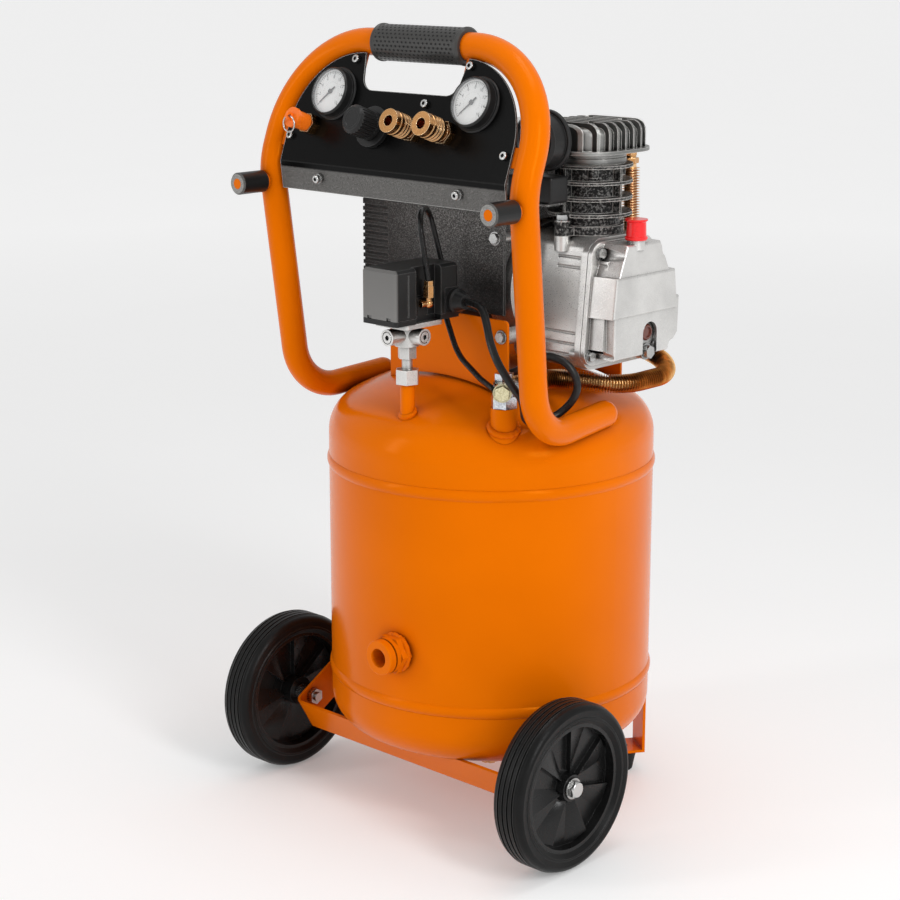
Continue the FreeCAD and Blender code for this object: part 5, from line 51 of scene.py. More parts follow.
# ---------------------------------------------------------------- sizes in metres
PANEL_LEAN = math.radians(20)
RIGHT = Vector((1, 0, 0))
UP = Vector((0, math.sin(PANEL_LEAN), math.cos(PANEL_LEAN)))
OUT = RIGHT.cross(UP)
PANEL_FOLD_Z = 0.6895                            # the panel's lip lies below this height

GRIP_ROWS = 28                                   # rows of dimples round the grip
GRIP_PITCH = 0.0058                              # from dimple to dimple along it
GRIP_DIMPLED_HALF = 0.0535                       # half the length that has dimples

BANJO_Z = 0.4750                                 # underside of the check valve's banjo
BANJO_FRONT_Y = -0.1035
SWITCH_LOW_Z = 0.545
SWITCH_HIGH_Z = 0.61
SWITCH_FRONT_Y = -0.150
TUBE_BRIGHT_Z = 0.64                                # above this the discharge tube is bright copper
TUBE_DARK_Z = 0.50                               # below this it is dark bronze

CABLE_DIAMETER = 0.008
CABLE_ROUTE = [
    (0.0580, -0.09035, 0.56515), (0.0740, -0.09035, 0.56515), (0.0964, -0.10395, 0.5606),
    (0.1230, -0.12335, 0.5278), (0.1460, -0.11935, 0.4958), (0.1490, -0.10435, 0.4796),
    (0.1350, -0.08735, 0.4494), (0.1410, -0.04235, 0.4514), (0.1623, -0.03185, 0.4806),
    (0.1530, -0.04175, 0.5107), (0.1206, -0.05015, 0.5155), (0.0876, -0.05105, 0.4881),
    (0.0633, -0.04675, 0.4899), (0.0500, -0.03410, 0.50325), (0.0500, -0.02109, 0.51626),
]

TUBE_TOP = Vector((0.115, 0.09965, 0.694))       # where the fins start below the elbow
TUBE_END = Vector((0.113, -0.07735, 0.48482))    # where the tube meets the check valve
TUBE_ROUTE = [TUBE_TOP, (0.117, 0.10165, 0.506), (0.182, 0.10865, 0.482),
              (0.169, 0.02865, 0.477), (0.113, -0.01735, 0.48482), TUBE_END]
TUBE_BENDS = (0.024, 0.028, 0.060, 0.050)
TUBE_STEP = 0.00068                              # a quarter of the fins' pitch
TUBE_RADIUS = 0.0062
FIN_PROFILE = (0.0066, 0.0066, 0.0068, 0.00985)  # radii over one pitch
BARE_STEPS = 7                                   # steps without fins at each end
ELBOW_RISE = 0.012
HEAD_SIDE_Y = 0.07565                            # face of the head that the elbow enters

DIAL_X = 0.098
DIAL_Y = -0.111501
DIAL_Z = 0.763872
DIAL_FACE = 0.01506                              # dial's face in front of that point
DIAL_SCALE_RADIUS = 0.0208
DIAL_NUMBERS = ("0", "2", "4", "6", "8", "10", "12", "14", "16")
DIAL_TICKS = 40
DIAL_ARC_STEPS = 96


# ---------------------------------------------------------------- camera
def make_camera():
    data = bpy.data.cameras.new("camera")
    data.lens = 83.5
    data.sensor_width = 36
    data.clip_end = 60
    camera = bpy.data.objects.new("camera", data)
    camera.location = (1.4693, -1.61405, 0.9374)
    aim = Vector((-0.0323, -0.01775, 0.3825))
    camera.rotation_euler = (aim - camera.location).to_track_quat("-Z", "Y").to_euler()
    bpy.context.scene.collection.objects.link(camera)
    bpy.context.scene.camera = camera


make_camera()


# ---------------------------------------------------------------- shader helpers
class Shader:
    """A Principled material and short calls that add nodes to it."""

    def __init__(self, name, colour, rough=0.4, metal=0.0, coat=0.0, specular=0.5):
        self.material = bpy.data.materials.new(name)
        self.material.use_nodes = True
        self.tree = self.material.node_tree
        self.bsdf = self.tree.nodes["Principled BSDF"]
        self.material.diffuse_color = (*colour, 1)
        self.set("Base Color", (*colour, 1))
        self.set("Roughness", rough)
        self.set("Metallic", metal)
        self.set("Specular IOR Level", specular)
        if coat:
            self.set("Coat Weight", coat)
            self.set("Coat Roughness", 0.08)
        self.place = self.add("ShaderNodeTexCoord").outputs["Object"]

    def add(self, kind, **values):
        node = self.tree.nodes.new(kind)
        for key, value in values.items():
            setattr(node, key, value)
        return node

    def plug(self, socket, value):
        if isinstance(value, bpy.types.NodeSocket):
            self.tree.links.new(value, socket)
        else:
            socket.default_value = value

    def set(self, name, value):
        self.plug(self.bsdf.inputs[name], value)

    def math(self, operation, a, b=0.0, clamp=False):
        node = self.add("ShaderNodeMath", operation=operation, use_clamp=clamp)
        self.plug(node.inputs[0], a)
        self.plug(node.inputs[1], b)
        return node.outputs[0]

    def span(self, value, low, high, to_low=0.0, to_high=1.0):
        node = self.add("ShaderNodeMapRange", clamp=True)
        for socket, item in zip(node.inputs, (value, low, high, to_low, to_high)):
            self.plug(socket, item)
        return node.outputs[0]

    def axes(self, socket=None):
        node = self.add("ShaderNodeSeparateXYZ")
        self.plug(node.inputs[0], socket or self.place)
        return node.outputs

    def noise(self, scale, detail=3.0, rough=0.55):
        node = self.add("ShaderNodeTexNoise")
        self.plug(node.inputs["Vector"], self.place)
        node.inputs["Scale"].default_value = scale
        node.inputs["Detail"].default_value = detail
        node.inputs["Roughness"].default_value = rough
        return node.outputs["Fac"]

    def mix(self, fac, a, b):
        node = self.add("ShaderNodeMix", data_type="RGBA")
        self.plug(node.inputs["Factor"], fac)
        self.plug(node.inputs[6], a if isinstance(a, bpy.types.NodeSocket) else (*a, 1))
        self.plug(node.inputs[7], b if isinstance(b, bpy.types.NodeSocket) else (*b, 1))
        return node.outputs[2]

    def edges(self, radius, gain=6.0):
        """1 along outer edges and 0 on flat faces."""
        bevel = self.add("ShaderNodeBevel", samples=4)
        bevel.inputs["Radius"].default_value = radius
        geometry = self.add("ShaderNodeNewGeometry")
        dot = self.add("ShaderNodeVectorMath", operation="DOT_PRODUCT")
        self.plug(dot.inputs[0], bevel.outputs[0])
        self.plug(dot.inputs[1], geometry.outputs["Normal"])
        away = self.math("SUBTRACT", 1.0, dot.outputs["Value"])
        return self.math("MULTIPLY", away, gain, clamp=True)

    def hollows(self, distance):
        """1 in the open and 0 deep in gaps."""
        node = self.add("ShaderNodeAmbientOcclusion", samples=6)
        node.inputs["Distance"].default_value = distance
        return node.outputs["AO"]

    def bump(self, height, distance, strength=1.0, soft=0.0):
        node = self.add("ShaderNodeBump")
        node.inputs["Strength"].default_value = strength
        node.inputs["Distance"].default_value = distance
        self.plug(node.inputs["Height"], height)
        if soft:
            bevel = self.add("ShaderNodeBevel", samples=4)
            bevel.inputs["Radius"].default_value = soft
            self.plug(node.inputs["Normal"], bevel.outputs[0])
        self.set("Normal", node.outputs[0])


# ---------------------------------------------------------------- materials
def orange_paint():
    """Glossy orange paint with a faint peel and painted shade in its corners."""
    s = Shader("orange_paint", (0.76, 0.152, 0.0005), 0.24, specular=0.2)
    s.set("Specular Tint", (1.0, 0.36, 0.02, 1))
    patches = s.noise(7.0, 2.0)
    fine = s.noise(160.0, 3.0)
    body = s.mix(s.span(patches, 0.3, 0.7), (0.72, 0.142, 0.0004), (0.78, 0.158, 0.0005))
    # painted shade: corners and gaps darken to dark brown
    corner_shade = s.mix(s.span(s.hollows(0.014), 0.25, 0.9), (0.22, 0.03, 0.0004), body)
    s.set("Base Color", corner_shade)
    s.set("Roughness", s.span(fine, 0.3, 0.7, 0.16, 0.24))
    peel = s.math("ADD", s.math("MULTIPLY", fine, 0.25), s.noise(38.0, 2.0))
    s.bump(peel, 0.0004, 0.3, 0.0012)
    return s.material


def weld_paint():
    s = Shader("weld_paint", (0.76, 0.145, 0.0005), 0.24, specular=0.3)
    s.set("Specular Tint", (1.0, 0.36, 0.02, 1))
    rough = s.noise(420.0, 4.0, 0.7)
    s.set("Base Color", s.mix(rough, (0.6, 0.1, 0.0006), (0.84, 0.165, 0.0009)))
    s.bump(rough, 0.001, 0.6)
    return s.material


def panel_paint():
    """Black paint with a speckled lip whose grey is painted light where it faces up, and painted
    highlights along its edges.
    """
    s = Shader("black_panel_paint", (0.003, 0.003, 0.003), 0.3, specular=0.1)
    z = s.axes()["Z"]
    band = s.span(z, PANEL_FOLD_Z, PANEL_FOLD_Z + 0.0017, 1.0, 0.0)
    speck = s.span(s.noise(1500.0, 2.0, 0.7), 0.42, 0.68)
    # painted light: the lip's grey stands in for light falling on it; its speckle is the powder coat's
    # grain
    grain_and_sheen = s.mix(speck, (0.07, 0.068, 0.065), (0.24, 0.234, 0.225))
    face = s.mix(band, (0.0022, 0.0022, 0.0022), grain_and_sheen)
    # painted highlight: edges turn light grey
    s.set("Base Color", s.mix(s.edges(0.0013, 6.0), face, (0.55, 0.55, 0.53)))
    s.set("Roughness", s.span(band, 0.0, 1.0, 0.24, 0.42))
    s.bump(s.noise(1300.0, 2.0), 0.0002, 0.25)
    return s.material


def rubber(name, colour, edge_highlight, rough, scale, height, edge=0.0009):
    s = Shader(name, colour, rough, specular=0.16)
    fine = s.noise(scale, 4.0, 0.65)
    patches = s.noise(26.0, 3.0)
    body = s.mix(s.span(patches, 0.35, 0.7), colour, tuple(c * 1.9 for c in colour))
    # painted highlight: edges turn lighter grey
    s.set("Base Color", s.mix(s.edges(edge, 3.0), body, edge_highlight))
    s.set("Roughness", s.span(fine, 0.3, 0.7, rough - 0.08, rough + 0.12))
    s.bump(fine, height, 0.5)
    return s.material


def grip_rubber():
    """Soft rubber with staggered rows of dimples round the grip."""
    s = Shader("grip_rubber", (0.008, 0.008, 0.008), 0.3, specular=0.5)
    low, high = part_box("handle_grip")
    centre = (Vector(low) + Vector(high)) / 2
    x, y, z = s.axes()
    angle = s.math("ARCTAN2", s.math("SUBTRACT", z, centre.z), s.math("SUBTRACT", y, centre.y))
    row = s.math("MULTIPLY", angle, GRIP_ROWS / math.tau)
    shift = s.math("MULTIPLY", s.math("MODULO", s.math("FLOOR", s.math("ADD", row, 60)), 2.0), 0.5)
    column = s.math("ADD", s.math("DIVIDE", x, GRIP_PITCH), shift)
    u = s.math("SUBTRACT", s.math("FRACT", s.math("ADD", column, 60)), 0.5)
    v = s.math("SUBTRACT", s.math("FRACT", s.math("ADD", row, 60)), 0.5)
    far = s.math("ADD", s.math("ABSOLUTE", u), s.math("ABSOLUTE", v))
    pit = s.span(far, 0.22, 0.4)
    away = s.math("ABSOLUTE", s.math("SUBTRACT", x, centre.x))
    ends = s.span(away, GRIP_DIMPLED_HALF, GRIP_DIMPLED_HALF + 0.001)
    height = s.math("MAXIMUM", pit, ends)
    # painted shade: the dimples are darker than the rubber round them
    s.set("Base Color", s.mix(height, (0.0006, 0.0006, 0.0006), (0.036, 0.035, 0.033)))
    s.set("Roughness", s.span(height, 0.0, 1.0, 0.7, 0.28))
    s.bump(height, 0.0014, 1.0)
    return s.material


def plastic(name, colour, rough, scale=900.0, height=0.0002, glint=0.0, coat=0.0):
    s = Shader(name, colour, rough, coat=coat, specular=0.3)
    fine = s.noise(scale, 3.0, 0.65)
    lighter = tuple(min(1.0, c * 1.6 + 0.004) for c in colour)
    body = s.mix(s.span(fine, 0.35, 0.7), colour, lighter)
    if glint:
        body = s.mix(s.edges(0.0009, 4.0), body, (glint, glint, glint))
    s.set("Base Color", body)
    s.set("Roughness", s.span(s.noise(30.0, 2.0), 0.3, 0.7, rough - 0.05, rough + 0.07))
    s.bump(fine, height, 0.45, 0.0005)
    return s.material


def sleeve_plastic():
    """Black sleeve with a grey rim round its open front and painted highlights along its other edges."""
    s = Shader("sleeve_plastic", (0.012, 0.012, 0.012), 0.3, specular=0.3)
    geometry = s.add("ShaderNodeNewGeometry")
    front = s.span(s.axes(geometry.outputs["True Normal"])["Y"], -0.95, -0.6, 1.0, 0.0)
    fine = s.noise(1500.0)
    rim = s.mix(s.span(fine, 0.4, 0.65), (0.16, 0.157, 0.15), (0.40, 0.39, 0.37))
    # painted highlight: edges turn grey
    side = s.mix(s.edges(0.0009, 4.0), (0.010, 0.010, 0.010), (0.14, 0.14, 0.135))
    s.set("Base Color", s.mix(front, side, rim))
    s.bump(fine, 0.0002, 0.4, 0.0004)
    return s.material


def switch_plastic():
    """Black moulding whose front face catches the light."""
    s = Shader("switch_plastic", (0.02, 0.02, 0.02), 0.32, specular=0.35)
    geometry = s.add("ShaderNodeNewGeometry")
    front = s.span(s.axes(geometry.outputs["True Normal"])["Y"], -0.8, -0.2, 1.0, 0.0)
    place = s.axes()
    fade = s.span(place["Y"], SWITCH_FRONT_Y, SWITCH_FRONT_Y + 0.022, 1.0, 0.12)
    low = s.span(place["Z"], SWITCH_LOW_Z, SWITCH_HIGH_Z, 1.0, 0.75)
    shade = s.math("MULTIPLY", s.math("MULTIPLY", front, fade), low)
    body = s.mix(shade, (0.008, 0.008, 0.008), (0.19, 0.185, 0.178))
    # painted highlight: edges turn grey
    s.set("Base Color", s.mix(s.edges(0.0009, 4.0), body, (0.2, 0.2, 0.195)))
    s.bump(s.noise(900.0), 0.0002, 0.4, 0.0005)
    return s.material


def shroud_plastic():
    """Black plastic whose powder grain is painted as a sparkling sheen, strongest on its lit upper front,
    with painted highlights along its edges.
    """
    s = Shader("black_shroud", (0.005, 0.005, 0.005), 0.42, specular=0.22)
    grain_and_sheen = s.noise(1100.0, 3.0, 0.75)
    spark = s.span(grain_and_sheen, 0.5, 0.66)
    place = s.axes()
    # painted light: the upper front is painted lighter as lit and its grain sparkles there
    lit = s.math("MULTIPLY", s.span(place["Z"], 0.575, 0.66), s.span(place["X"], -0.13, -0.02))
    sheen = s.math("ADD", s.math("MULTIPLY", lit, 0.85), 0.08)
    ground = s.mix(lit, (0.003, 0.003, 0.003), (0.05, 0.049, 0.047))
    body = s.mix(s.math("MULTIPLY", spark, sheen), ground, (0.62, 0.61, 0.59))
    s.set("Base Color", s.mix(s.edges(0.0014, 3.0), body, (0.16, 0.16, 0.155)))
    s.bump(grain_and_sheen, 0.0004, 0.6, 0.0008)
    return s.material


def metal(name, colour, dark, rough, scale, height, edge=None, gap=0.0, full=1.0):
    s = Shader(name, colour, rough, metal=full, specular=0.4)
    fine = s.noise(scale, 4.0, 0.65)
    body = s.mix(s.span(s.noise(24.0, 3.0), 0.3, 0.7), colour, tuple(c * 0.82 for c in colour))
    # painted shade: with gap set, hollows darken to the dark colour
    if gap:
        body = s.mix(s.span(s.hollows(gap), 0.3, 0.9), dark, body)
    # painted highlight: with edge set, edges turn to the edge colour
    if edge:
        body = s.mix(s.edges(0.001, 5.0), body, edge)
    s.set("Base Color", body)
    s.set("Roughness", s.span(fine, 0.3, 0.7, rough - 0.07, rough + 0.1))
    s.bump(fine, height, 0.5, 0.0006)
    return s.material


def cast_iron():
    """Rough blackened casting whose edges shine."""
    s = Shader("cast_iron", (0.012, 0.012, 0.012), 0.5, metal=0.3, specular=0.4)
    lumps = s.noise(360.0, 4.0, 0.7)
    glint = s.span(lumps, 0.5, 0.64)
    body = s.mix(glint, (0.003, 0.003, 0.003), (0.26, 0.255, 0.245))
    s.set("Base Color", s.mix(s.edges(0.0014, 6.0), body, (0.72, 0.70, 0.66)))
    s.set("Roughness", s.span(lumps, 0.3, 0.7, 0.55, 0.3))
    s.bump(lumps, 0.0016, 0.8)
    return s.material


def tube_metal():
    """Copper near the head that darkens to bronze along the tube."""
    s = Shader("copper_tube", (0.5, 0.25, 0.09), 0.3, metal=1.0)
    z = s.axes()["Z"]
    # colour changes with height: bright copper above, dark bronze below
    toward_head = s.span(z, TUBE_DARK_Z, TUBE_BRIGHT_Z)
    core = s.mix(toward_head, (0.06, 0.022, 0.007), (0.28, 0.10, 0.035))
    tip = s.mix(toward_head, (0.82, 0.50, 0.22), (0.98, 0.66, 0.36))
    # painted shade between the fins and painted highlight on their tips
    fins = s.span(s.hollows(0.0024), 0.36, 0.72)
    body = s.mix(fins, core, tip)
    s.set("Base Color", s.mix(s.span(s.noise(90.0), 0.4, 0.7, 0.0, 0.3), body, core))
    s.bump(s.noise(700.0), 0.0002, 0.4)
    return s.material


def valve_metal():
    """Zinc-plated body under a pale brass banjo."""
    s = Shader("valve_metal", (0.74, 0.66, 0.42), 0.25, metal=1.0)
    place = s.axes()
    above = s.span(place["Z"], BANJO_Z, BANJO_Z + 0.0006)
    ahead = s.span(place["Y"], BANJO_FRONT_Y, BANJO_FRONT_Y + 0.0005, 1.0, 0.0)
    brass = s.math("MULTIPLY", above, ahead)
    fine = s.noise(500.0)
    pale = s.mix(s.span(fine, 0.35, 0.65), (0.62, 0.55, 0.33), (0.82, 0.76, 0.52))
    zinc = s.mix(s.span(fine, 0.35, 0.65), (0.52, 0.55, 0.60), (0.80, 0.82, 0.85))
    body = s.mix(brass, zinc, pale)
    # painted shade: gaps darken to near black
    s.set("Base Color", s.mix(s.span(s.hollows(0.006), 0.3, 0.9), (0.06, 0.05, 0.04), body))
    s.bump(fine, 0.0002, 0.5, 0.0005)
    return s.material


def clear_cover(name, tint, alpha):
    s = Shader(name, tint, 0.04, specular=0.6)
    smear = s.noise(60.0, 2.0)
    s.set("Roughness", s.span(smear, 0.3, 0.7, 0.02, 0.08))
    s.set("Alpha", alpha)
    return s.material


def dial_white():
    s = Shader("dial_white", (0.78, 0.78, 0.77), 0.5)
    s.set("Base Color", s.mix(s.noise(40.0), (0.74, 0.74, 0.73), (0.82, 0.82, 0.81)))
    return s.material


def print_ink(name, colour):
    s = Shader(name, colour, 0.6)
    s.set("Base Color", s.mix(s.noise(500.0), colour, tuple(c * 1.5 + 0.01 for c in colour)))
    return s.material


MATERIALS = {
    "orange_paint": orange_paint(),
    "black_panel_paint": panel_paint(),
    "tyre_rubber": rubber("tyre_rubber", (0.004, 0.004, 0.004), (0.09, 0.09, 0.088),
                          0.36, 500.0, 0.0003),
    "foot_rubber": rubber("foot_rubber", (0.01, 0.01, 0.01), (0.05, 0.05, 0.05), 0.6, 500.0, 0.0004),
    "grip_rubber": grip_rubber(),
    "black_plastic": plastic("black_plastic", (0.008, 0.008, 0.008), 0.34, glint=0.06),
    "hub_plastic": plastic("hub_plastic", (0.004, 0.004, 0.004), 0.26, glint=0.03),
    "switch_plastic": switch_plastic(),
    "sleeve_plastic": sleeve_plastic(),
    "rocker_plastic": plastic("rocker_plastic", (0.5, 0.01, 0.01), 0.28),
    "red_plastic": plastic("red_plastic", (0.72, 0.006, 0.008), 0.22, coat=0.5),
    "orange_plastic": plastic("orange_plastic", (0.85, 0.14, 0.006), 0.28, coat=0.3),
    "zinc_steel": metal("zinc_steel", (0.60, 0.60, 0.59), (0.03, 0.03, 0.03), 0.22, 800.0, 0.0001,
                        gap=0.006),
    "shaft_steel": metal("shaft_steel", (0.5, 0.5, 0.5), (0.05, 0.05, 0.05), 0.3, 900.0, 0.0001),
    "motor_iron": metal("motor_iron", (0.05, 0.05, 0.05), (0.01, 0.01, 0.01), 0.5, 500.0, 0.0003,
                        full=0.4),
    "cast_alloy": metal("cast_alloy", (0.78, 0.77, 0.75), (0.04, 0.038, 0.034), 0.3, 900.0, 0.0003,
                        edge=(0.98, 0.98, 0.96), gap=0.014, full=0.85),
    "head_alloy": metal("head_alloy", (0.30, 0.30, 0.29), (0.02, 0.02, 0.02), 0.36, 800.0, 0.0005,
                        edge=(0.9, 0.88, 0.84), gap=0.006),
    "cast_iron": cast_iron(),
    "brass_knob": metal("brass_knob", (0.8, 0.5, 0.22), (0.12, 0.05, 0.02), 0.25, 700.0, 0.0001,
                        gap=0.004),
    "brass": metal("brass", (0.70, 0.36, 0.14), (0.05, 0.016, 0.004), 0.2, 700.0, 0.0001,
                   edge=(0.98, 0.74, 0.46), gap=0.006),
    "valve_metal": valve_metal(),
    "copper_tube": tube_metal(),
    "dial_white": dial_white(),
    "needle_black": print_ink("needle_black", (0.008, 0.008, 0.008)),
    "clear_lens": clear_cover("clear_lens", (0.9, 0.92, 0.93), 0.14),
    "sight_lens": plastic("sight_lens", (0.10, 0.022, 0.012), 0.1, coat=0.8),
    "black_shroud": shroud_plastic(),
    "black_tube": plastic("black_tube", (0.007, 0.007, 0.007), 0.22, 300.0),
    "cable_rubber": plastic("cable_rubber", (0.008, 0.008, 0.008), 0.28, 350.0),
    "weld_paint": weld_paint(),
}

OTHER_MATERIAL = {"right_hub": "hub_plastic", "left_hub": "hub_plastic", "check_valve": "valve_metal"}


def paint_nodes():
    for part in frame["record"]["subparts"]:
        name = part["node"]
        wanted = OTHER_MATERIAL.get(name, part["material_slot"])
        mesh = NODES[name].data
        mesh.materials.clear()
        mesh.materials.append(MATERIALS[wanted])


paint_nodes()


# ---------------------------------------------------------------- motor cable
def make_cable():
    curve = bpy.data.curves.new("motor_cable_run", "CURVE")
    curve.dimensions = "3D"
    curve.bevel_depth = CABLE_DIAMETER / 2
    curve.bevel_resolution = 5
    curve.resolution_u = 10
    spline = curve.splines.new("NURBS")
    spline.points.add(len(CABLE_ROUTE) - 1)
    for point, place in zip(spline.points, CABLE_ROUTE):
        point.co = (*place, 1)
    spline.order_u = 3
    spline.use_endpoint_u = True
    cable = bpy.data.objects.new("motor_cable_run", curve)
    bpy.context.scene.collection.objects.link(cable)
    curve.materials.append(MATERIALS["cable_rubber"])
    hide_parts("motor_cable")
    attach(cable, "machine")


make_cable()


# ---------------------------------------------------------------- mesh helpers
def add_piece(name, mesh, material, smooth=False):
    """New piece that rides on the machine's fixed body."""
    piece = bpy.data.objects.new(name, mesh)
    bpy.context.scene.collection.objects.link(piece)
    mesh.materials.append(MATERIALS[material])
    for face in mesh.polygons:
        face.use_smooth = smooth
    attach(piece, "machine")
    return piece


def frame_along(points):
    """Point, side and up vectors that turn as little as possible along a line."""
    points = [Vector(p) for p in points]
    count = len(points)
    ways = []
    for i in range(count):
        way = points[min(i + 1, count - 1)] - points[max(i - 1, 0)]
        ways.append(way.normalized())
    side = ways[0].orthogonal().normalized()
    rows = []
    for point, way in zip(points, ways):
        side = (side - way * side.dot(way)).normalized()
        rows.append((point, side, way.cross(side)))
    return rows


def add_skin(mesh, rows, radii, sides, closed=False):
    """Adds a skin of rings with the given radii to a bmesh."""
    rings = []
    for (point, side, up), radius in zip(rows, radii):
        ring = []
        for k in range(sides):
            turn = math.tau * k / sides
            ring.append(mesh.verts.new(point + (side * math.cos(turn) + up * math.sin(turn)) * radius))
        rings.append(ring)
    pairs = list(zip(rings, rings[1:]))
    if closed:
        pairs.append((rings[-1], rings[0]))
    for low, high in pairs:
        for k in range(sides):
            following = (k + 1) % sides
            mesh.faces.new((low[k], low[following], high[following], high[k]))
    if not closed:
        mesh.faces.new(rings[0][::-1])
        mesh.faces.new(rings[-1])


def to_mesh(name, mesh):
    data = bpy.data.meshes.new(name)
    bmesh.ops.recalc_face_normals(mesh, faces=mesh.faces)
    mesh.to_mesh(data)
    mesh.free()
    return data


# ---------------------------------------------------------------- finned discharge tube
def bent_line(points, radii, step):
    """Evenly stepped centre line of a bent tube."""
    points = [Vector(p) for p in points]
    line = [points[0]]
    for before, corner, after, radius in zip(points, points[1:], points[2:], radii):
        back = (before - corner).normalized()
        ahead = (after - corner).normalized()
        half = back.angle(ahead) / 2
        centre = corner + (back + ahead).normalized() * (radius / math.sin(half))
        start = corner + back * (radius / math.tan(half)) - centre
        end = corner + ahead * (radius / math.tan(half)) - centre
        for k in range(25):
            line.append(centre + start.normalized().slerp(end.normalized(), k / 24) * radius)
    line.append(points[-1])
    even = [line[0]]
    carried = 0.0
    for a, b in zip(line, line[1:]):
        run = (b - a).length
        while carried + run >= step:
            a = a + (b - a).normalized() * (step - carried)
            even.append(a.copy())
            run = (b - a).length
            carried = 0.0
        carried += run
    return even + [points[-1]]


def make_discharge_tube():
    """Tube with a fin at every pitch between its bare ends."""
    rows = frame_along(bent_line(TUBE_ROUTE, TUBE_BENDS, TUBE_STEP))
    radii = []
    for i in range(len(rows)):
        finned = BARE_STEPS <= i < len(rows) - BARE_STEPS - 1
        radii.append(FIN_PROFILE[i % len(FIN_PROFILE)] if finned else TUBE_RADIUS)
    mesh = bmesh.new()
    add_skin(mesh, rows, radii, 26)
    tube = add_piece("discharge_tube_fins", to_mesh("discharge_tube_fins", mesh), "copper_tube")
    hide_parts("discharge_tube")
    make_tube_ends()


def add_prism(mesh, start, end, radius, sides, turn=0.0):
    """Prism or cylinder with slightly bevelled ends."""
    way = (end - start).normalized()
    bevel = min(0.0006, (end - start).length / 5)
    side = way.orthogonal().normalized()
    side.rotate(Matrix.Rotation(turn, 3, way))
    stops = ((start, radius - bevel), (start + way * bevel, radius))
    stops += ((end - way * bevel, radius), (end, radius - bevel))
    rows = [(point, side, way.cross(side)) for point, size in stops]
    add_skin(mesh, rows, [size for point, size in stops], sides)


def make_tube_ends():
    """Elbow and nuts of the discharge tube."""
    elbow = TUBE_TOP + Vector((0, 0, ELBOW_RISE))
    inner = Vector((elbow.x, HEAD_SIDE_Y, elbow.z))
    knee = [elbow + Vector(shift) for shift in ((0, -0.002, 0), (0, 0.0005, -0.0005), (0, 0.001, -0.004))]
    mesh = bmesh.new()
    add_prism(mesh, elbow, inner, 0.0045, 24)
    add_skin(mesh, frame_along(knee), (0.0058, 0.0064, 0.0058), 24)
    add_prism(mesh, elbow, TUBE_TOP, 0.0058, 24)
    add_prism(mesh, TUBE_TOP, TUBE_TOP + Vector((0, 0, 0.006)), 0.0086, 6)
    add_prism(mesh, TUBE_END, TUBE_END + Vector((0, 0.011, 0)), 0.012, 6, turn=0.5)
    ends = add_piece("discharge_fittings", to_mesh("discharge_fittings", mesh), "brass")
    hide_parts("discharge_tube")


make_discharge_tube()


# ---------------------------------------------------------------- gauge dials
def add_quad(mesh, centre, along, across, length, width):
    corners = []
    for a, b in ((-1, -1), (1, -1), (1, 1), (-1, 1)):
        corners.append(mesh.verts.new(centre + along * (a * length / 2) + across * (b * width / 2)))
    mesh.faces.new(corners)


def dial_way(turn):
    """Direction from a dial's centre at a fraction of its sweep."""
    angle = math.radians(225 - 270 * turn)
    return RIGHT * math.cos(angle) + UP * math.sin(angle)


def number_mesh(text, size):
    curve = bpy.data.curves.new("number", "FONT")
    curve.body = text
    curve.size = size
    curve.align_x = "CENTER"
    curve.align_y = "CENTER"
    holder = bpy.data.objects.new("number", curve)
    bpy.context.scene.collection.objects.link(holder)
    graph = bpy.context.evaluated_depsgraph_get()
    data = bpy.data.meshes.new_from_object(holder.evaluated_get(graph))
    bpy.data.objects.remove(holder)
    bpy.data.curves.remove(curve)
    return data


def make_dial(name, x):
    """Scale ring, inner scale and numbers printed on one gauge."""
    centre = Vector((x, DIAL_Y, DIAL_Z)) + OUT * DIAL_FACE
    mesh = bmesh.new()
    for i in range(DIAL_TICKS + 1):
        way = dial_way(i / DIAL_TICKS)
        length, width = (0.0036, 0.0008) if i % 5 == 0 else (0.0020, 0.00042)
        middle = centre + way * (DIAL_SCALE_RADIUS - length / 2)
        add_quad(mesh, middle, way, way.cross(OUT), length, width)
    for i in range(DIAL_ARC_STEPS):
        way = dial_way(i / (DIAL_ARC_STEPS - 1))
        add_quad(mesh, centre + way * DIAL_SCALE_RADIUS, way, way.cross(OUT), 0.0003, 0.0011)
        if i % 4 == 0:
            add_quad(mesh, centre + way * DIAL_SCALE_RADIUS / 2, way, way.cross(OUT), 0.0011, 0.0002)
    turned = Matrix((RIGHT, UP, OUT)).transposed().to_4x4()
    for i, text in enumerate(DIAL_NUMBERS):
        data = number_mesh(text, 0.0048)
        way = dial_way(i / (len(DIAL_NUMBERS) - 1))
        spot = centre + way * (DIAL_SCALE_RADIUS - 0.0056) + OUT * 0.00002
        data.transform(Matrix.Translation(spot) @ turned)
        mesh.from_mesh(data)
        bpy.data.meshes.remove(data)
    data = bpy.data.meshes.new(name)
    mesh.to_mesh(data)
    mesh.free()
    add_piece(name, data, "needle_black")


def make_dials():
    make_dial("left_dial_print", -DIAL_X)
    make_dial("right_dial_print", DIAL_X)


make_dials()


# ---------------------------------------------------------------- weld beads
def weld_ring(mesh, centre, radius, size, rnd, axis, count):
    """Closed bead of overlapping scales round an axis."""
    axis = Vector(axis).normalized()
    side = axis.orthogonal().normalized()
    up = axis.cross(side)
    rows = []
    radii = []
    for i in range(count):
        turn = math.tau * i / count
        out = side * math.cos(turn) + up * math.sin(turn)
        scale = 1 + 0.07 * math.sin(i * math.tau / 4) + rnd.uniform(-0.05, 0.05)
        wander = rnd.uniform(-0.06, 0.06) * size
        rows.append((Vector(centre) + out * (radius + wander), out, axis))
        radii.append(size * scale)
    add_skin(mesh, rows, radii, 8, closed=True)


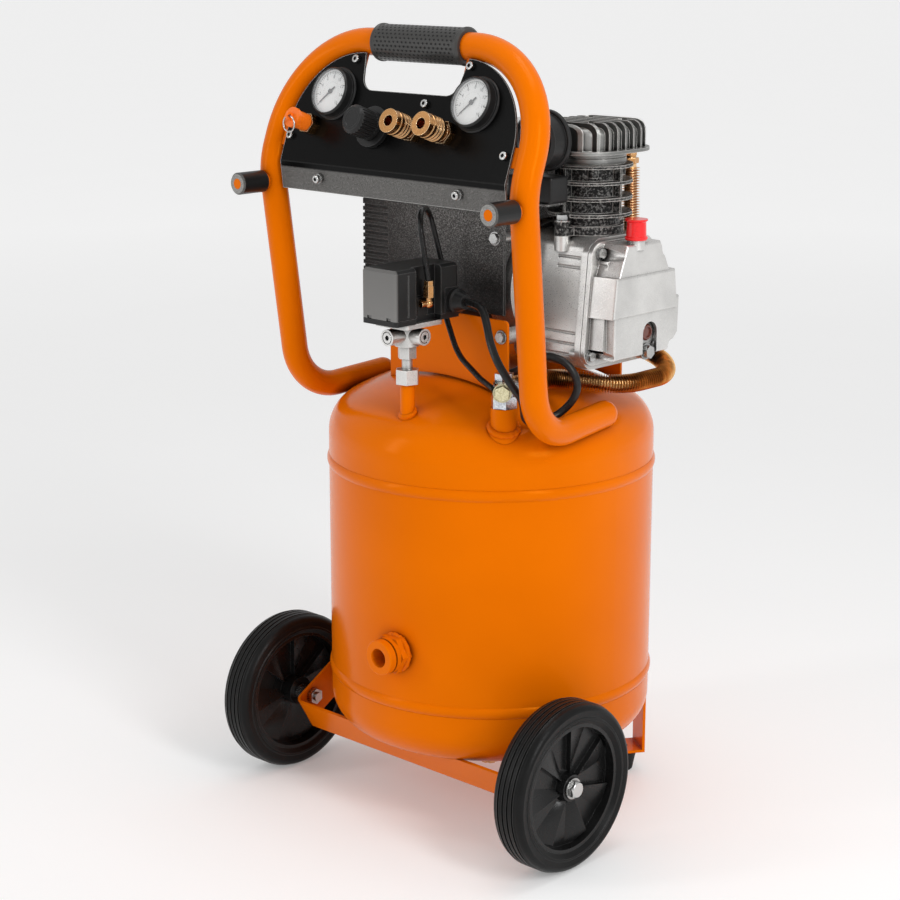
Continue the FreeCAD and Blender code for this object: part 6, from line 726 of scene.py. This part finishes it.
def make_welds():
    rnd = random.Random(7)
    mesh = bmesh.new()
    weld_ring(mesh, (0.015, -0.13135, 0.4510), 0.0083, 0.0022, rnd, (0, -0.5, 0.87), 40)
    weld_ring(mesh, (0.113, -0.09335, 0.4450), 0.0143, 0.0034, rnd, (0.30, -0.24, 0.92), 64)
    weld_ring(mesh, (0.026, -0.1625, 0.203), 0.0188, 0.0028, rnd, (0, -1, 0), 72)
    add_piece("weld_beads", to_mesh("weld_beads", mesh), "weld_paint", smooth=True)


make_welds()


# ---------------------------------------------------------------- studio
def make_floor():
    """Pale floor that glows a little more far off, so that it ends as bright as it starts."""
    mesh = bpy.data.meshes.new("studio_floor")
    half = 90.0
    corners = [(-half, -half, 0), (half, -half, 0), (half, half, 0), (-half, half, 0)]
    mesh.from_pydata(corners, [], [(0, 1, 2, 3)])
    s = Shader("studio_floor", (0.80, 0.80, 0.80), 0.9, specular=0.05)
    s.set("Base Color", s.mix(s.noise(3.0), (0.79, 0.79, 0.79), (0.81, 0.81, 0.81)))
    s.set("Emission Color", (1, 1, 1, 1))
    place = s.axes()
    squares = [s.math("MULTIPLY", place[axis], place[axis]) for axis in "XY"]
    away = s.math("SQRT", s.math("ADD", *squares))
    s.set("Emission Strength", s.span(away, 0.8, 4.5, 0.19, 0.36))
    mesh.materials.append(s.material)
    floor = bpy.data.objects.new("studio_floor", mesh)
    bpy.context.scene.collection.objects.link(floor)


def make_light(name, place, aim, size, power, tint=(1, 1, 1)):
    data = bpy.data.lights.new(name, "AREA")
    data.shape = "RECTANGLE"
    data.size, data.size_y = size
    data.energy = power
    data.color = tint
    light = bpy.data.objects.new(name, data)
    light.location = place
    light.rotation_euler = (Vector(aim) - Vector(place)).to_track_quat("-Z", "Y").to_euler()
    bpy.context.scene.collection.objects.link(light)


def make_studio():
    world = bpy.data.worlds.new("studio")
    bpy.context.scene.world = world
    world.use_nodes = True
    world.node_tree.nodes["Background"].inputs[0].default_value = (1, 1, 1, 1)
    world.node_tree.nodes["Background"].inputs[1].default_value = 0.62
    make_floor()
    middle = (0, 0, 0.45)
    make_light("key_light", (2.0, -0.5, 1.5), middle, (0.5, 1.4), 22)
    make_light("fill_light", (-1.2, -2.2, 1.3), middle, (0.35, 1.6), 10)
    make_light("top_light", (0.3, 0.0, 2.6), middle, (1.0, 1.0), 9)


make_studio()
bpy.context.scene.view_settings.view_transform = "Standard"
bpy.context.view_layer.update()
